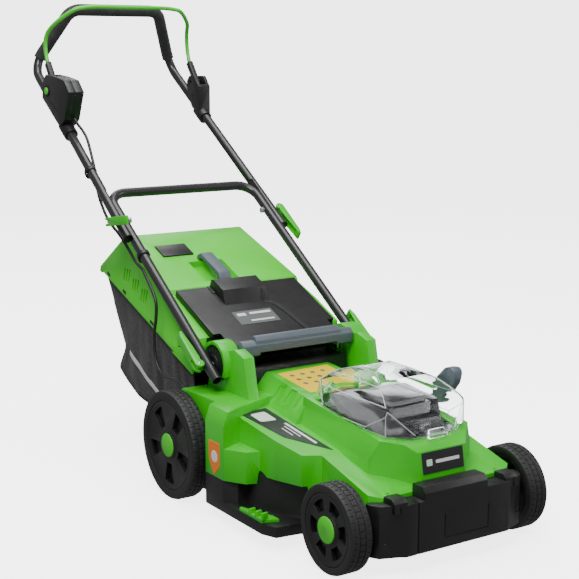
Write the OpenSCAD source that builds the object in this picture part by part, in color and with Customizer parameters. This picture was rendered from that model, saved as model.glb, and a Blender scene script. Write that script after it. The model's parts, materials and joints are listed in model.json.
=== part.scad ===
// Cordless push lawn mower with a rear grass bag.
// Frame: +Z up, +Y towards the handle, -X is the side with the switch box.
// The modules are drawn with y = 0 over the front wheel axle, then moved
// so that the origin is under the middle of the whole mower.

/* [Wheels] */
// Radius of the front wheels
front_r = 75; // [74:1:76]
// Width of the front wheels
front_w = 40; // [38:1:41]
// Radius of the rear wheels
rear_r = 103; // [102:1:103]
// Width of the rear wheels
rear_w = 36; // [34:1:37]

/* [Deck] */
// Half width of the deck at its widest place
deck_half = 235; // [232:1:236]
// Wall thickness of the deck shell
wall = 3.2; // [2.8:0.1:3.6]
// Clearance of the skirt above the ground
skirt_z = 25; // [23:1:27]

/* [Cutting] */
// Radius swept by the blade tips
blade_r = 184; // [178:1:186]
// Height of the blade's underside above the ground
blade_z = 36; // [34:1:37]

/* [Handle] */
// Outer radius of the handle tubes
tube_r = 10; // [9.5:0.1:10]
// Angle of the lower handle above level, degrees
lower_angle = 34.1; // [33.5:0.1:34.5]
// Outer radius of the foam grip
foam_r = 13.5; // [13:0.1:14]
// Radius of the bail rod
bail_r = 4.5; // [4:0.1:5]

/* [Battery bay] */
// Wall thickness of the clear cover
cover_t = 2.4; // [2:0.1:2.8]

/* [Hidden] */
$fn = 48;

// Distance from the front axle to the middle of the mower's length
y_mid = 571.4;

// Running clearance of shafts in their bores
run = 0.06;

// Wheels and axles, as (y, z)
front_hub = [0, front_r];
rear_hub = [463.4, rear_r];
front_in = 168;
rear_in = 212;
crank = 25;
front_pivot = [front_hub[0] + crank, front_hub[1] - crank];
rear_pivot = [rear_hub[0] + crank, rear_hub[1] - crank];
axle_r = 6;
stub_r = 6;
link_arm = 24;
link_x = 153.5;
cap_r = 22.5;

// Deck
blade_c = [0, 245];
drum_r = 196;
roof_z = 66;
chute_half = 118;
pod_half = 188;
well_half = 150;
rear_half = 205;
deck_end = 482;

// Handle: the lower tube runs through its pivot at lower_angle
pivot_y = 434;
pivot_z = 255;
lower_x = 175.3;
lower_len = 503;
clamp_s = 416;
corner_r = 40;
clamp_y = pivot_y + clamp_s * cos(lower_angle);
clamp_z = pivot_z + clamp_s * sin(lower_angle);
split_x = 180.7;
upper_x0 = 186.1;
upper_x1 = 178;
upper_end = 52;
grip_corner = [1227, 796];
grip_top = [1156.6, 923.2];
grip_half = 110;

// Bail
bail_y = 1100;
bail_z = 760;
bail_x = 180;

// Rear flap hinge
flap_y = 418;
flap_z = 270;
flap_pitch = 23.3;
flap_rod_r = 3;

// Pin of the battery cover's hinge, as (y, z)
cover_pin = [236.5, 233];

// Height lever
lever_y = 212;
lever_z = 128;
lever_x = 141;

// ---------- shape helpers ----------

module placed() {
  translate([0, -y_mid, 0]) children();
}

// Outline in (y, z) drawn out along X
module side_prism(pts, x0, x1) {
  translate([x0, 0, 0]) rotate([90, 0, 90]) linear_extrude(x1 - x0) polygon(pts);
}

// Outline in (x, z) drawn out along Y
module front_prism(pts, y0, y1) {
  translate([0, y1, 0]) rotate([90, 0, 0]) linear_extrude(y1 - y0) polygon(pts);
}

// Outline in (x, y) drawn out along Z
module plan_prism(pts, z0, z1) {
  translate([0, 0, z0]) linear_extrude(z1 - z0) polygon(pts);
}

// A half outline with x >= 0, closed by its mirror image
function both_sides(pts) =
  concat(pts, [for (i = [len(pts) - 1:-1:0]) if (pts[i][0] > 0.001) [-pts[i][0], pts[i][1]]]);

module mirrored() {
  children();
  mirror([1, 0, 0]) children();
}

// Cylinder along X from x0 to x1 around (y, z)
module x_rod(p, x0, x1, r) {
  translate([x0, p[0], p[1]]) rotate([0, 90, 0]) cylinder(h = x1 - x0, r = r);
}

function unit(v) = v / norm(v);

// Points of a round corner at b between a and c
function corner_arc(a, b, c, r, n) =
  let (
    u = unit(a - b),
    v = unit(c - b),
    half = (180 - acos(u * v)) / 2,
    bis = unit(u + v),
    w = unit(v - u),
    m = b + bis * (r / cos(half))
  )
  [for (i = [0:n]) let (f = -half + 2 * half * i / n) m + r * (w * sin(f) - bis * cos(f))];

// A polyline with its inner corners rounded
function rounded_path(pts, r, n) =
  let (last = len(pts) - 1)
  concat(
    [pts[0]],
    [for (i = [1:last - 1]) each corner_arc(pts[i - 1], pts[i], pts[i + 1], r, n)],
    [pts[last]]
  );

function tangent(path, i) =
  unit(path[min(i + 1, len(path) - 1)] - path[max(i - 1, 0)]);

// Side vectors that turn with the path and never twist
function side_vectors(path, i, prev) =
  let (
    t = tangent(path, i),
    s = unit(prev - t * (prev * t))
  )
  i == len(path) - 1 ? [s] : concat([s], side_vectors(path, i + 1, s));

// Round bar of radius r and n sides along a path
module swept_bar(path, r, n, start_side) {
  sides = side_vectors(path, 0, start_side);
  rings = len(path);
  points = [
    for (i = [0:rings - 1])
      let (t = tangent(path, i), s = sides[i], u = cross(t, s))
      for (k = [0:n - 1])
        path[i] + r * (s * cos(360 * k / n) + u * sin(360 * k / n))
  ];
  skin = [
    for (i = [0:rings - 2])
      for (k = [0:n - 1])
        let (a = i * n + k, b = i * n + (k + 1) % n)
        each [[a, a + n, b + n], [a, b + n, b]]
  ];
  caps = [
    [for (k = [0:n - 1]) k],
    [for (k = [n - 1:-1:0]) (rings - 1) * n + k]
  ];
  polyhedron(points = points, faces = concat(skin, caps));
}

// Local frame of the lower handle: x across, y up along the tube
module lower_frame() {
  translate([0, pivot_y, pivot_z]) rotate([lower_angle, 0, 0]) children();
}

// Same directions, with its origin at the clamp
module clamp_frame() {
  translate([0, clamp_y, clamp_z]) rotate([lower_angle, 0, 0]) children();
}

// ---------- wheels ----------

// Tyre around the X axis, from x = 0 (inner face) to x = w (outer face)
module tyre(r, w, rim) {
  bulge = 4;
  rotate([0, 90, 0]) difference() {
    rotate_extrude($fn = 96) polygon([
      [rim, 1], [r - 5, 0], [r - bulge + 2.6, 1.2], [r, bulge + 1],
      [r, w - bulge - 1], [r - bulge + 2.6, w - 1.2], [r - 5, w], [rim, w - 1]
    ]);
    for (x = [0.36, 0.64])
      translate([0, 0, w * x - 1]) difference() {
        cylinder(h = 2, r = r + 1, $fn = 96);
        cylinder(h = 2, r = r - 1.2, $fn = 96);
      }
  }
}

// Ring sector in the wheel's plane, as an outline
module sector(r0, r1, mid, half) {
  polygon(concat(
    [for (i = [0:4]) let (a = mid - half + half * i / 2) [r0 * cos(a), r0 * sin(a)]],
    [for (i = [4:-1:0]) let (a = mid - half + half * i / 2) [r1 * cos(a), r1 * sin(a)]]
  ));
}

// Rim with window openings; outline angles are seen from outside
module rim(r, w, windows, first, half, w_in, w_out) {
  rotate([0, 90, 0]) difference() {
    rotate_extrude($fn = 96) polygon([
      [stub_r + run, 0], [18, 0], [20, w - 12], [r - 9, w - 12], [r - 6, 2],
      [r, 2], [r, w - 2], [r - 4, w - 1], [r - 10, w - 4], [cap_r + 6, w - 4],
      [cap_r + 3, w - 1], [cap_r + 0.3, w - 1], [cap_r + 0.3, w - 5], [stub_r + run, w - 5]
    ]);
    for (i = [0:windows - 1])
      translate([0, 0, w - 20]) linear_extrude(30) sector(w_in, w_out, first + i * 360 / windows, half);
  }
}

module hub_cap(w) {
  rotate([0, 90, 0]) difference() {
    rotate_extrude($fn = 64) polygon([
      [0, w - 4.9], [cap_r, w - 4.9], [cap_r, w], [cap_r - 2, w + 1.2], [0, w + 1.6]
    ]);
    translate([0, 0, w - 6]) cylinder(h = 2.4, r = stub_r + 2);
  }
}

// Puts a wheel piece on its side: side is 1 for +X or -1 for -X
module on_hub(side, hub, x_in) {
  placed() mirror([side < 0 ? 1 : 0, 0, 0]) translate([x_in, hub[0], hub[1]]) children();
}

front_rim_r = 61;
rear_rim_r = 85;

module front_right_tyre() {
  color("#2b2b2d") on_hub(-1, front_hub, front_in) tyre(front_r, front_w, front_rim_r);
}

module front_left_tyre() {
  color("#2b2b2d") on_hub(1, front_hub, front_in) tyre(front_r, front_w, front_rim_r);
}

module front_right_rim() {
  color("#3a3a3c") on_hub(-1, front_hub, front_in) rim(front_rim_r, front_w, 6, 25, 18, 31, 50);
}

module front_left_rim() {
  color("#3a3a3c") on_hub(1, front_hub, front_in) rim(front_rim_r, front_w, 6, 25, 18, 31, 50);
}

module front_right_cap() {
  color("#6cc24a") on_hub(-1, front_hub, front_in) hub_cap(front_w);
}

module front_left_cap() {
  color("#6cc24a") on_hub(1, front_hub, front_in) hub_cap(front_w);
}

module rear_right_tyre() {
  color("#2b2b2d") on_hub(-1, rear_hub, rear_in) tyre(rear_r, rear_w, rear_rim_r);
}

module rear_left_tyre() {
  color("#2b2b2d") on_hub(1, rear_hub, rear_in) tyre(rear_r, rear_w, rear_rim_r);
}

module rear_right_rim() {
  color("#3a3a3c") on_hub(-1, rear_hub, rear_in) rim(rear_rim_r, rear_w, 5, 0, 13.5, 36, 74);
}

module rear_left_rim() {
  color("#3a3a3c") on_hub(1, rear_hub, rear_in) rim(rear_rim_r, rear_w, 5, 0, 13.5, 36, 74);
}

module rear_right_cap() {
  color("#6cc24a") on_hub(-1, rear_hub, rear_in) hub_cap(rear_w);
}

module rear_left_cap() {
  color("#6cc24a") on_hub(1, rear_hub, rear_in) hub_cap(rear_w);
}

// ---------- height adjustment ----------

// Cranked axle: a bar across the deck, and at each end a cheek that
// carries the wheel's stub
module cranked_axle(pivot, hub, x_in, w) {
  cheek_t = 6;
  cheek_x = x_in - cheek_t - 1;
  mid = [(pivot[0] + hub[0]) / 2, (pivot[1] + hub[1]) / 2];
  reach = norm(hub - pivot);
  tip = pivot + [link_arm, link_arm];
  x_rod(pivot, -cheek_x - 1, cheek_x + 1, axle_r);
  mirrored() {
    x_rod(pivot, cheek_x, cheek_x + cheek_t, 10);
    x_rod(hub, cheek_x, cheek_x + cheek_t, 10);
    translate([cheek_x, mid[0], mid[1]])
      rotate([-45, 0, 0]) translate([0.5, -reach / 2, -9]) cube([cheek_t - 1, reach, 18]);
    x_rod(hub, cheek_x, x_in + w - 5.6, stub_r);
  }
  // arm and pin of the connecting rod
  translate([link_x + 3, pivot[0], pivot[1]]) rotate([-45, 0, 0])
    translate([0, -7, 0]) cube([4, 14, link_arm * sqrt(2)]);
  x_rod(tip, link_x + 2.8, link_x + 7.2, 8);
  x_rod(pivot, link_x + 2.8, link_x + 8, 11);
  x_rod(tip, link_x - 3.3, link_x + 3, 3);
}

module front_axle() {
  color("#9a9da1") placed() cranked_axle(front_pivot, front_hub, front_in, front_w);
}

module rear_axle() {
  color("#9a9da1") placed() cranked_axle(rear_pivot, rear_hub, rear_in, rear_w);
}

// The rod joins the two arms; its rear eye has play, because the linkage
// is open there
module height_link_rod() {
  a = front_pivot + [link_arm, link_arm];
  b = rear_pivot + [link_arm, link_arm];
  rise = atan((b[1] - a[1]) / (b[0] - a[0]));
  color("#8c8f93") placed() difference() {
    union() {
      x_rod(a, link_x - 3, link_x + 2.5, 6.5);
      x_rod(b, link_x - 3, link_x + 2.5, 7.5);
      translate([link_x - 3, a[0], a[1]]) rotate([rise, 0, 0])
        translate([0.4, 0, -2.8]) cube([4.6, norm(b - a), 5.6]);
    }
    x_rod(a, link_x - 5, link_x + 5, 3 + run);
    x_rod(b, link_x - 5, link_x + 5, 4);
  }
}

// Bushes that hold the axles under the deck
module axle_bushes() {
  color("#1e1e1f") placed() mirrored() for (p = [[front_pivot, 118, 12], [rear_pivot, 122, 12]])
    difference() {
      translate([p[1], p[0][0] - 12, p[0][1] - 10]) cube([8, 24, 10 + p[2] - 1]);
      x_rod(p[0], p[1] - 1, p[1] + 9, axle_r + run);
    }
}

knob_at = [136, 231];

module height_lever() {
  d = knob_at - [lever_y, lever_z];
  ang = atan2(d[1], d[0]);
  color("#4c5a60") placed() difference() {
    union() {
      x_rod([lever_y, lever_z], lever_x - 8, lever_x + 8, 12);
      translate([lever_x - 3, lever_y, lever_z]) rotate([ang, 0, 0])
        translate([0, 0, -9]) cube([6, norm(d) - 17.5, 18]);
    }
    x_rod([lever_y, lever_z], lever_x - 9, lever_x + 9, 5 + run);
  }
}

module height_lever_knob() {
  d = knob_at - [lever_y, lever_z];
  ang = atan2(d[1], d[0]);
  color("#6b7a82") placed() translate([lever_x, lever_y, lever_z]) rotate([ang, 0, 0])
    translate([0, norm(d) - 6, 0]) hull() {
      for (p = [[0, 0, 11], [0, 12, 20], [4, 34, 18], [8, 44, 10]])
        translate([p[0] - 2, p[1], 0]) rotate([0, 90, 0]) cylinder(h = 15, r = p[2], $fn = 32);
    }
}

// ---------- deck ----------

// Upper surface of the side pods, as (y, z)
pod_top = [[-50, 128], [98, 165], [319, 190], [345, 192]];

// Solid outline of the green shell; g shrinks it to make the cavity
module deck_form(g) {
  // side pods and front apron
  intersection() {
    plan_prism(both_sides([
      [0, -50 + g], [131 - g / 2, -50 + g], [well_half - g, -34 + g], [well_half - g, 94 + g],
      [pod_half - 6 - g, 108 + g], [pod_half - g, 180], [pod_half - g, 345], [0, 345]
    ]), 20, 200);
    side_prism([
      [-51, 20], [-51, 128 - g], [98, 165 - g], [319, 190 - g], [346, 192 - g], [346, 86],
      [104, 112], [98, 34], [-10, 34], [-51, 34]
    ], -240, 240);
  }
  // shoulders over the rear wheels
  intersection() {
    plan_prism(both_sides([
      [0, 330 + g], [108, 330 + g], [186, 300 + g], [deck_half - g, 276 + g], [deck_half - g, 340],
      [rear_half - g, 356], [rear_half - g, deck_end], [0, deck_end]
    ]), 84, 230);
    side_prism([
      [270, 84], [270, 205 - g], [360, 207 - g], [deck_end + 1, 203 - g], [deck_end + 1, 84]
    ], -240, 240);
    front_prism(both_sides([
      [deck_half + 1, 60], [deck_half + 1, 178 - g / 2], [deck_half - 14 - g / 2, 206 - g], [0, 206 - g]
    ]), 200, 500);
  }
  // lower block in front of each shoulder
  plan_prism(both_sides([
    [0, 240 + g], [pod_half - 10, 226 + g], [212 - g, 238 + g], [deck_half - g, 277 + g],
    [deck_half - g, 300], [0, 300]
  ]), 84, 142 - g);
  // hood
  intersection() {
    front_prism(both_sides([[126 - g, 150], [112 - g, 186], [66 - g / 2, 240], [0, 240]]), 225, 410);
    side_prism([
      [228 + g, 150], [228 + g, 192 - g], [236 + g, 220 - g], [386, 235 - g], [399, 235 - g], [408, 150]
    ], -140, 140);
  }
  // nose
  intersection() {
    plan_prism(both_sides([
      [0, -42 + g], [46 - g / 2, -42 + g], [88 - g, 4 + g / 2], [110 - g, 20], [114 - g, 104],
      [116 - g, 240], [0, 240]
    ]), 100, 240);
    side_prism([
      [-43, 100], [-43 + g, 147], [-36 + g, 186 - g], [-20 + g, 198 - g], [180, 219 - g],
      [241, 226 - g], [241, 100]
    ], -140, 140);
    front_prism(both_sides([[124 - g, 100], [116 - g, 155], [92 - g, 206], [90 - g, 240], [0, 240]]), -60, 250);
  }
}

// Ear that carries one handle pivot, on the +X side
module ear() {
  difference() {
    union() {
      side_prism([
        [322, 192], [334, 226], [346, 280], [378, 290], [402, 284], [470, 240], [478, 200], [478, 192]
      ], 128, 150);
      x_rod([pivot_y, pivot_z], 128, 150, 43);
      // rim over the pivot disc
      difference() {
        x_rod([pivot_y, pivot_z], 150, 163, 43);
        x_rod([pivot_y, pivot_z], 149, 164, 36);
        translate([149, pivot_y, 0]) cube([20, 60, pivot_z + 4]);
        translate([149, pivot_y - 60, 0]) cube([20, 61, pivot_z - 20]);
      }
    }
    // pocket behind the disc
    x_rod([pivot_y, pivot_z], 143, 152, 33);
    x_rod([pivot_y, pivot_z], 120, 160, 4 + run);
  }
}

module vent_pockets() {
  // three shallow pockets in each sloping side of the hood
  mirrored() for (i = [0:2])
    translate([90, 250 + i * 36, 214]) rotate([0, 49.6, 0]) translate([-19, -11, -2.2])
      cube([38, 22, 20]);
}

mount_x = 114.4;
mount_y = -41;
mount_hole_r = 3;

module deck_shell() {
  color("#5bd12f") placed() difference() {
    union() {
      difference() {
        deck_form(0);
        translate([0, 0, -wall]) deck_form(wall);
        // the shell is open underneath
        plan_prism(both_sides([[0, -46], [128, -46], [146, -31], [146, 98], [182, 112], [182, 340], [0, 340]]), 0, 110);
        plan_prism(both_sides([[0, 240], [182, 232], [210, 242], [231, 279], [231, 337], [201, 353],
          [201, deck_end - wall], [0, deck_end - wall]]), 0, 130);
        // wheel clearance behind and inside the shoulders
        mirrored() {
          x_rod(rear_hub, rear_half, 260, rear_r + 15);
          translate([rear_half, 349, 0]) cube([60, 200, rear_r]);
        }
      }
      mirrored() ear();
      // screw bosses of the front apron
      mirrored() translate([mount_x, mount_y, 112]) cylinder(h = 19, r = 7);
      // floor strip that carries the front axle bushes
      mirrored() translate([116, -48, 61]) cube([12, 90, 5]);
      // lugs and pins of the battery cover's hinge
      mirrored() {
        translate([24, cover_pin[0] - 4, 214]) cube([5.4, 8, cover_pin[1] - 210]);
        translate([52.6, cover_pin[0] - 4, 214]) cube([5.4, 8, cover_pin[1] - 210]);
        x_rod(cover_pin, 25, 57, 2 - run);
      }
      // lugs and pin of the height lever
      for (x = [129, 149.5]) translate([x, lever_y - 8, lever_z - 9]) cube([3.5, 16, 57]);
      x_rod([lever_y, lever_z], 130, 152, 5);
    }
    // battery bay
    plan_prism(both_sides([[0, -6], [40, -6], [70, 16], [78, 60], [80, 216], [0, 216]]), 150, 260);
    // chute passage through the hood's back and the rear wall
    side_prism([[396, 60], [396, 262], [500, 262], [500, 60]], -chute_half - 4, chute_half + 4);
    drum_form(0.4);
    // pockets, screw holes, lever slot, cable hole
    vent_pockets();
    mirrored() translate([mount_x, mount_y, 90]) cylinder(h = 60, r = mount_hole_r);
    translate([lever_x - 5, 92, 140]) cube([10, 134, 70]);
    // room round the front axle's cheek
    mirrored() x_rod(front_pivot, 140, 160, axle_r + 3);
    // slots for the connecting rod, and notches for the rear axle bushes
    translate([link_x - 5.5, 78, 64]) cube([14, 34, 28]);
    translate([link_x - 5.5, 466, 60]) cube([14, 24, 66]);
    mirrored() translate([121.9, 470, 60]) cube([8.2, 30, 29.1]);
    translate([-193, 476, 190]) rotate([-90, 0, 0]) cylinder(h = 12, r = 4.6);
  }
}

// Outer form of the blade chamber, a drum with a rounded shoulder, grown by g
module drum_form(g) {
  translate([0, blade_c[1], 0]) rotate_extrude($fn = 120) polygon(concat(
    [[0, 40 - g], [drum_r + 4 + g, 40 - g], [drum_r + g, 60], [drum_r - 4 + g, 96]],
    [for (a = [15:15:90]) [drum_r - 24 + (20 + g) * cos(a), 96 + (20 + g) * sin(a)]],
    [[0, 116 + g]]
  ));
}

module chamber_walls() {
  difference() {
    drum_form(0);
    translate([0, blade_c[1], 0]) {
      cylinder(h = roof_z, r = drum_r - 3, $fn = 120);
      translate([0, 0, roof_z + 3]) cylinder(h = 60, r = drum_r - 9, $fn = 120);
    }
  }
}

module skirt() {
  // outer flange of the deck between the wheels
  difference() {
    plan_prism(both_sides([
      [0, 42], [136, 42], [145.5, 48], [145.5, 101], [163, 108.5], [180, 116], [224, 122], [deck_half, 150], [deck_half, 341],
      [202, 352], [202, 440], [0, 440]
    ]), skirt_z, 44);
    plan_prism(both_sides([
      [0, 46], [132, 46], [141.5, 52], [141.5, 104], [162, 112.5], [180, 120], [220, 126], [231, 152], [231, 338],
      [198, 349], [198, 424], [0, 424]
    ]), skirt_z - 1, 41);
    translate([0, blade_c[1], 0]) cylinder(h = 60, r = drum_r - 3, $fn = 120);
  }
  // corner panels under the shoulders
  mirrored() difference() {
    plan_prism([
      [180, 262], [214, 262], [deck_half, 280], [deck_half, 341], [202, 352], [202, 440], [180, 440]
    ], 40, 84);
    plan_prism([[176, 266], [212, 266], [231, 283], [231, 338], [198, 349], [198, 436], [176, 436]], 30, 90);
  }
}

module chute() {
  // tunnel from the blade chamber up to the bag mouth
  difference() {
    side_prism([
      [330, 69], [392, 66], [420, 66], [428, 92], [456, 92], [479, 104], [479, 244], [397, 244], [397, 168],
      [340, 120]
    ], -chute_half, chute_half);
    side_prism([
      [334, 60], [400, 60], [423, 95], [455, 95], [484, 108], [484, 241], [400, 241], [400, 165], [343, 116]
    ], -chute_half + 3, chute_half - 3);
  }
}

module lower_deck() {
  color("#2e2e30") placed() difference() {
    union() {
      chamber_walls();
      skirt();
      chute();
    }
    // discharge from the chamber into the chute
    side_prism([[334, 30], [334, 110], [405, 110], [405, 68], [412, 68], [412, 30]], -chute_half + 3, chute_half - 3);
    // motor shaft
    translate([0, blade_c[1], 0]) cylinder(h = 100, r = 16);
    // windows for the connecting rod and the axle cheeks
    translate([link_x - 5.5, 20, roof_z + 3]) cube([14, 480, 50]);
    mirrored() translate([117.9, 470, 60]) cube([16, 30, 40]);
    // rear axle
    x_rod(rear_pivot, -210, 210, axle_r + 3);
    mirrored() {
      x_rod(rear_hub, 201, 260, rear_r + 15);
      x_rod(front_pivot, 110, 170, 14);
    }
  }
}

module edge_combs() {
  // low fins that lift the grass at the edge, in front of the corner panels
  color("#6bd63c") placed() mirrored() {
    plan_prism([[206, 140], [234, 152], [234, 224], [228, 228], [216, 190], [206, 160]], 44.3, 50);
    for (i = [0:2])
      translate([222, 150 + i * 20, 50]) rotate([0, 0, -12]) cube([12, 5, 12 - 2 * i]);
  }
}

module front_bumper() {
  color("#38383a") placed() difference() {
    union() {
      plan_prism(both_sides([
        [0, -84], [108, -84], [118, -78], [150, -66], [158, -52], [158, -40], [152, -38], [131, -50.3], [0, -50.3]
      ]), 35, 122);
      // raised middle pad and corner pads
      side_prism([[-84, 100], [-84, 134], [-76, 143], [-50.3, 143], [-50.3, 100]], -72, 60);
      mirrored() side_prism([[-82, 110], [-80, 126], [-72, 132], [-51, 132], [-51, 110]], 104, 131);
    }
    // hollow back
    plan_prism(both_sides([[0, -80], [106, -80], [146, -64], [152, -50.6], [130, -49], [0, -49]]), 30, 96);
    // grooves in the face
    mirrored() translate([118, -90, 30]) cube([4, 10, 100]);
    translate([-90, -90, 122]) cube([160, 5, 3]);
    mirrored() translate([144, -75, 58]) rotate([90, 0, 30]) cylinder(h = 30, r = 2.4, center = true);
  }
}

module carry_handle() {
  // bowed bar between the ears
  color("#5d6b74") placed() difference() {
    union() {
      side_prism([[386, 272], [386, 290], [394, 298], [404, 298], [410, 290], [410, 274], [402, 268], [392, 268]], -125.7, 125.7);
      side_prism([[387, 286], [388, 298], [395, 306], [403, 306], [409, 298], [409, 286]], -96, 96);
    }
    side_prism([[380, 260], [380, 271], [386, 276], [410, 276], [418, 260]], -88, 88);
  }
}

module battery_tray() {
  color("#222326") placed() difference() {
    union() {
      plan_prism(both_sides([[0, -5.7], [39.7, -5.7], [69.7, 16.2], [77.7, 60], [79.7, 215.7], [0, 215.7]]), 190, 202);
      // raised housing that holds the pack
      intersection() {
        plan_prism(both_sides([[0, 34], [56, 34], [70, 60], [70, 206], [0, 206]]), 170, 260);
        side_prism([[30, 170], [34, 212], [60, 236], [150, 246], [206, 236], [210, 170]], -80, 80);
      }
    }
    // pack socket, open to the top and front
    plan_prism([[-44, 44], [44, 44], [44, 150], [-44, 150]], 176, 262);
    // key socket
    translate([0, 14, 180]) cylinder(h = 60, r = 7 + run);
  }
}

module battery_pack() {
  color("#1b1c1e") placed() {
    plan_prism([[-42, 46], [42, 46], [42, 148], [-42, 148]], 177, 240);
    plan_prism([[-36, 52], [36, 52], [36, 142], [-36, 142]], 240, 250);
  }
}

module safety_key() {
  color("#c03026") placed() {
    translate([0, 14, 184]) cylinder(h = 20, r = 7);
    translate([-11, 10, 203]) cube([22, 8, 14]);
  }
}

module motor() {
  color("#55585c") placed() translate([0, blade_c[1], 0]) difference() {
    union() {
      translate([0, 0, roof_z + 3]) cylinder(h = 70, r = 58, $fn = 72);
      translate([0, 0, roof_z + 3]) cylinder(h = 6, r = 70, $fn = 72);
      translate([0, 0, roof_z + 73]) cylinder(h = 12, r = 40, $fn = 72);
    }
    cylinder(h = 140, r = 8 + run);
  }
}

module motor_shaft() {
  color("#b9bcc0") placed() translate([0, blade_c[1], blade_z + 9]) difference() {
    cylinder(h = 92, r = 8);
    translate([0, 0, -1]) cylinder(h = 24, r = 4);
  }
}

module blade_adapter() {
  color("#7d8085") placed() translate([0, blade_c[1], blade_z]) difference() {
    union() {
      translate([0, 0, 3]) cylinder(h = 22, r = 15);
      translate([0, 0, 3]) cylinder(h = 6, r = 26);
    }
    translate([0, 0, 9]) cylinder(h = 30, r = 8);
    cylinder(h = 30, r = 4);
  }
}

module blade() {
  color("#6d7074") placed() translate([0, blade_c[1], blade_z]) difference() {
    union() {
      linear_extrude(3) polygon([
        [-blade_r, -14], [-blade_r + 12, -27], [blade_r - 90, -27], [blade_r - 20, -25], [blade_r, 14],
        [blade_r - 12, 27], [-blade_r + 90, 27], [-blade_r + 20, 25]
      ]);
      // lift wings at the trailing edges
      for (a = [0, 180]) rotate([0, 0, a]) translate([blade_r - 86, 14, 3]) rotate([90, 0, 90])
        linear_extrude(62) polygon([[0, 0], [10, 8], [12, 8], [12, 6], [4, -0.5]]);
    }
    translate([0, 0, -1]) cylinder(h = 6, r = 4 + run);
  }
}

module blade_bolt() {
  color("#a7aab0") placed() translate([0, blade_c[1], blade_z]) {
    translate([0, 0, -7]) cylinder(h = 7, r = 8, $fn = 6);
    translate([0, 0, -0.5]) cylinder(h = 30, r = 4 - run);
  }
}

// ---------- battery cover ----------

// Outline of the clear cover, shrunk by g
module cover_form(g) {
  intersection() {
    plan_prism(both_sides([
      [0, -18 + g], [42 - g / 2, -18 + g], [84 - g, 8 + g / 2], [92 - g, 60], [92 - g, 176],
      [64 - g, 232 - g], [0, 232 - g]
    ]), 190, 320);
    side_prism([
      [-20, 180], [-20 + g, 206], [8 + g, 252 - g], [34, 268 - g], [70, 284 - g], [110, 293 - g],
      [150, 292 - g], [185, 281 - g], [214, 258 - g], [232 - g, 229], [232 - g, 180]
    ], -100, 100);
    front_prism(both_sides([
      [94 - g, 180], [91 - g, 215], [80 - g, 255], [62 - g, 278 - g / 2], [36, 291 - g], [0, 294 - g]
    ]), -30, 240);
    // sloped lower edge that follows the nose
    side_prism([[-30, 200.2], [180, 221.2], [240, 227.2], [240, 320], [-30, 320]], -100, 100);
  }
}

module battery_cover() {
  color("#dfe6ea", 0.4) placed() difference() {
    union() {
      difference() {
        cover_form(0);
        translate([0, 0, -0.01]) cover_form(cover_t);
        side_prism([[-30, 190], [-30, 203], [180, 224], [225, 228.4], [225, 190]], -88, 88);
      }
      // hinge barrels
      mirrored() {
        x_rod(cover_pin, 30, 52, 4.4);
        translate([30, 228, cover_pin[1] - 2]) cube([22, 9, 4]);
      }
    }
    mirrored() x_rod(cover_pin, 29, 53, 2);
  }
}

module cover_latch() {
  color("#c9d2d8") placed() {
    translate([-16, -23.4, 200]) cube([32, 5, 16]);
    translate([-20, -27, 203]) cube([40, 3.6, 6]);
  }
}

// ---------- rear flap ----------

module rear_flap() {
  color("#343436") placed() translate([0, flap_y, flap_z]) difference() {
    union() {
      rotate([flap_pitch, 0, 0]) {
        translate([-124, 4, 3]) cube([248, 62, 3]);
        translate([-140, 64, 3]) cube([280, 158, 3]);
        mirrored() translate([137, 64, -6]) cube([3, 158, 10]);
        translate([-70, 196, 6]) cube([112, 26, 2]);
        // hump in front of the bag handle
        translate([-64, 186, 6]) rotate([90, 0, 90]) linear_extrude(100)
          polygon([[-34, 0], [-12, 22], [28, 22], [36, 16], [36, 0]]);
      }
      for (x = [-110, 80]) x_rod([0, 0], x, x + 30, 6);
      for (x = [-110, 80]) translate([x + 1, 1, -2]) cube([28, 8, 7]);
    }
    x_rod([0, 0], -140, 140, flap_rod_r + run);
    // hollow under the hump, open to the rear
    rotate([flap_pitch, 0, 0]) translate([-60, 186, 6]) rotate([90, 0, 90]) linear_extrude(92)
      polygon([[-26, -8], [-26, 0], [-10, 19], [40, 19], [40, -8]]);
  }
}

module flap_hinge_rod() {
  color("#a4a7ab") placed() x_rod([flap_y, flap_z], -128, 128, flap_rod_r);
}

// ---------- grass bag ----------

// Mouth plane of the bag, and slopes of the lid's rim and top
mouth_y = 486;

lid_slope = atan2(446 - 363, 838 - 632);
handle_x = -16;

// On the lid's upper face, at the front foot of the handle, y up the slope
module lid_frame() {
  translate([0, 636, 364.6]) rotate([lid_slope, 0, 0]) children();
}

// Solid outline of the lid, shrunk by g
module lid_form(g) {
  intersection() {
    side_prism([
      [mouth_y + 4 + g, 200], [mouth_y + 4 + g, 292 - g], [628 + g / 2, 352 - g], [632 + g, 363 - g], [838, 446 - g], [843 - g, 446 - g],
      [941 - g, 370], [941 - g, 340]
    ], -190, 190);
    front_prism(both_sides([[183 - g, 200], [139 - g, 455], [0, 455]]), 480, 950);
    // the rim rises towards the rear
    side_prism([[mouth_y, 224], [945, 361], [945, 470], [mouth_y, 470]], -190, 190);
    // narrower where the handle tubes pass
    plan_prism(both_sides([
      [0, 480], [161 - g, 480], [161 - g, 556], [190 - g, 590], [190 - g, 950], [0, 950]
    ]), 262, 460);
  }
  intersection() {
    side_prism([
      [mouth_y + 4 + g, 224], [mouth_y + 4 + g, 264], [700, 264], [700, 280], [mouth_y + 4 + g, 224]
    ], -190, 190);
    front_prism(both_sides([[183 - g, 200], [172 - g, 264], [0, 264]]), 480, 700);
    side_prism([[mouth_y, 224], [945, 361], [945, 470], [mouth_y, 470]], -190, 190);
  }
}

// Hand space under the bag handle, widened by g
module recess(g) {
  lid_frame() translate([handle_x - 40 - g, 14 - g, -14 - g]) cube([80 + 2 * g, 78 + 2 * g, 60]);
}

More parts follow.
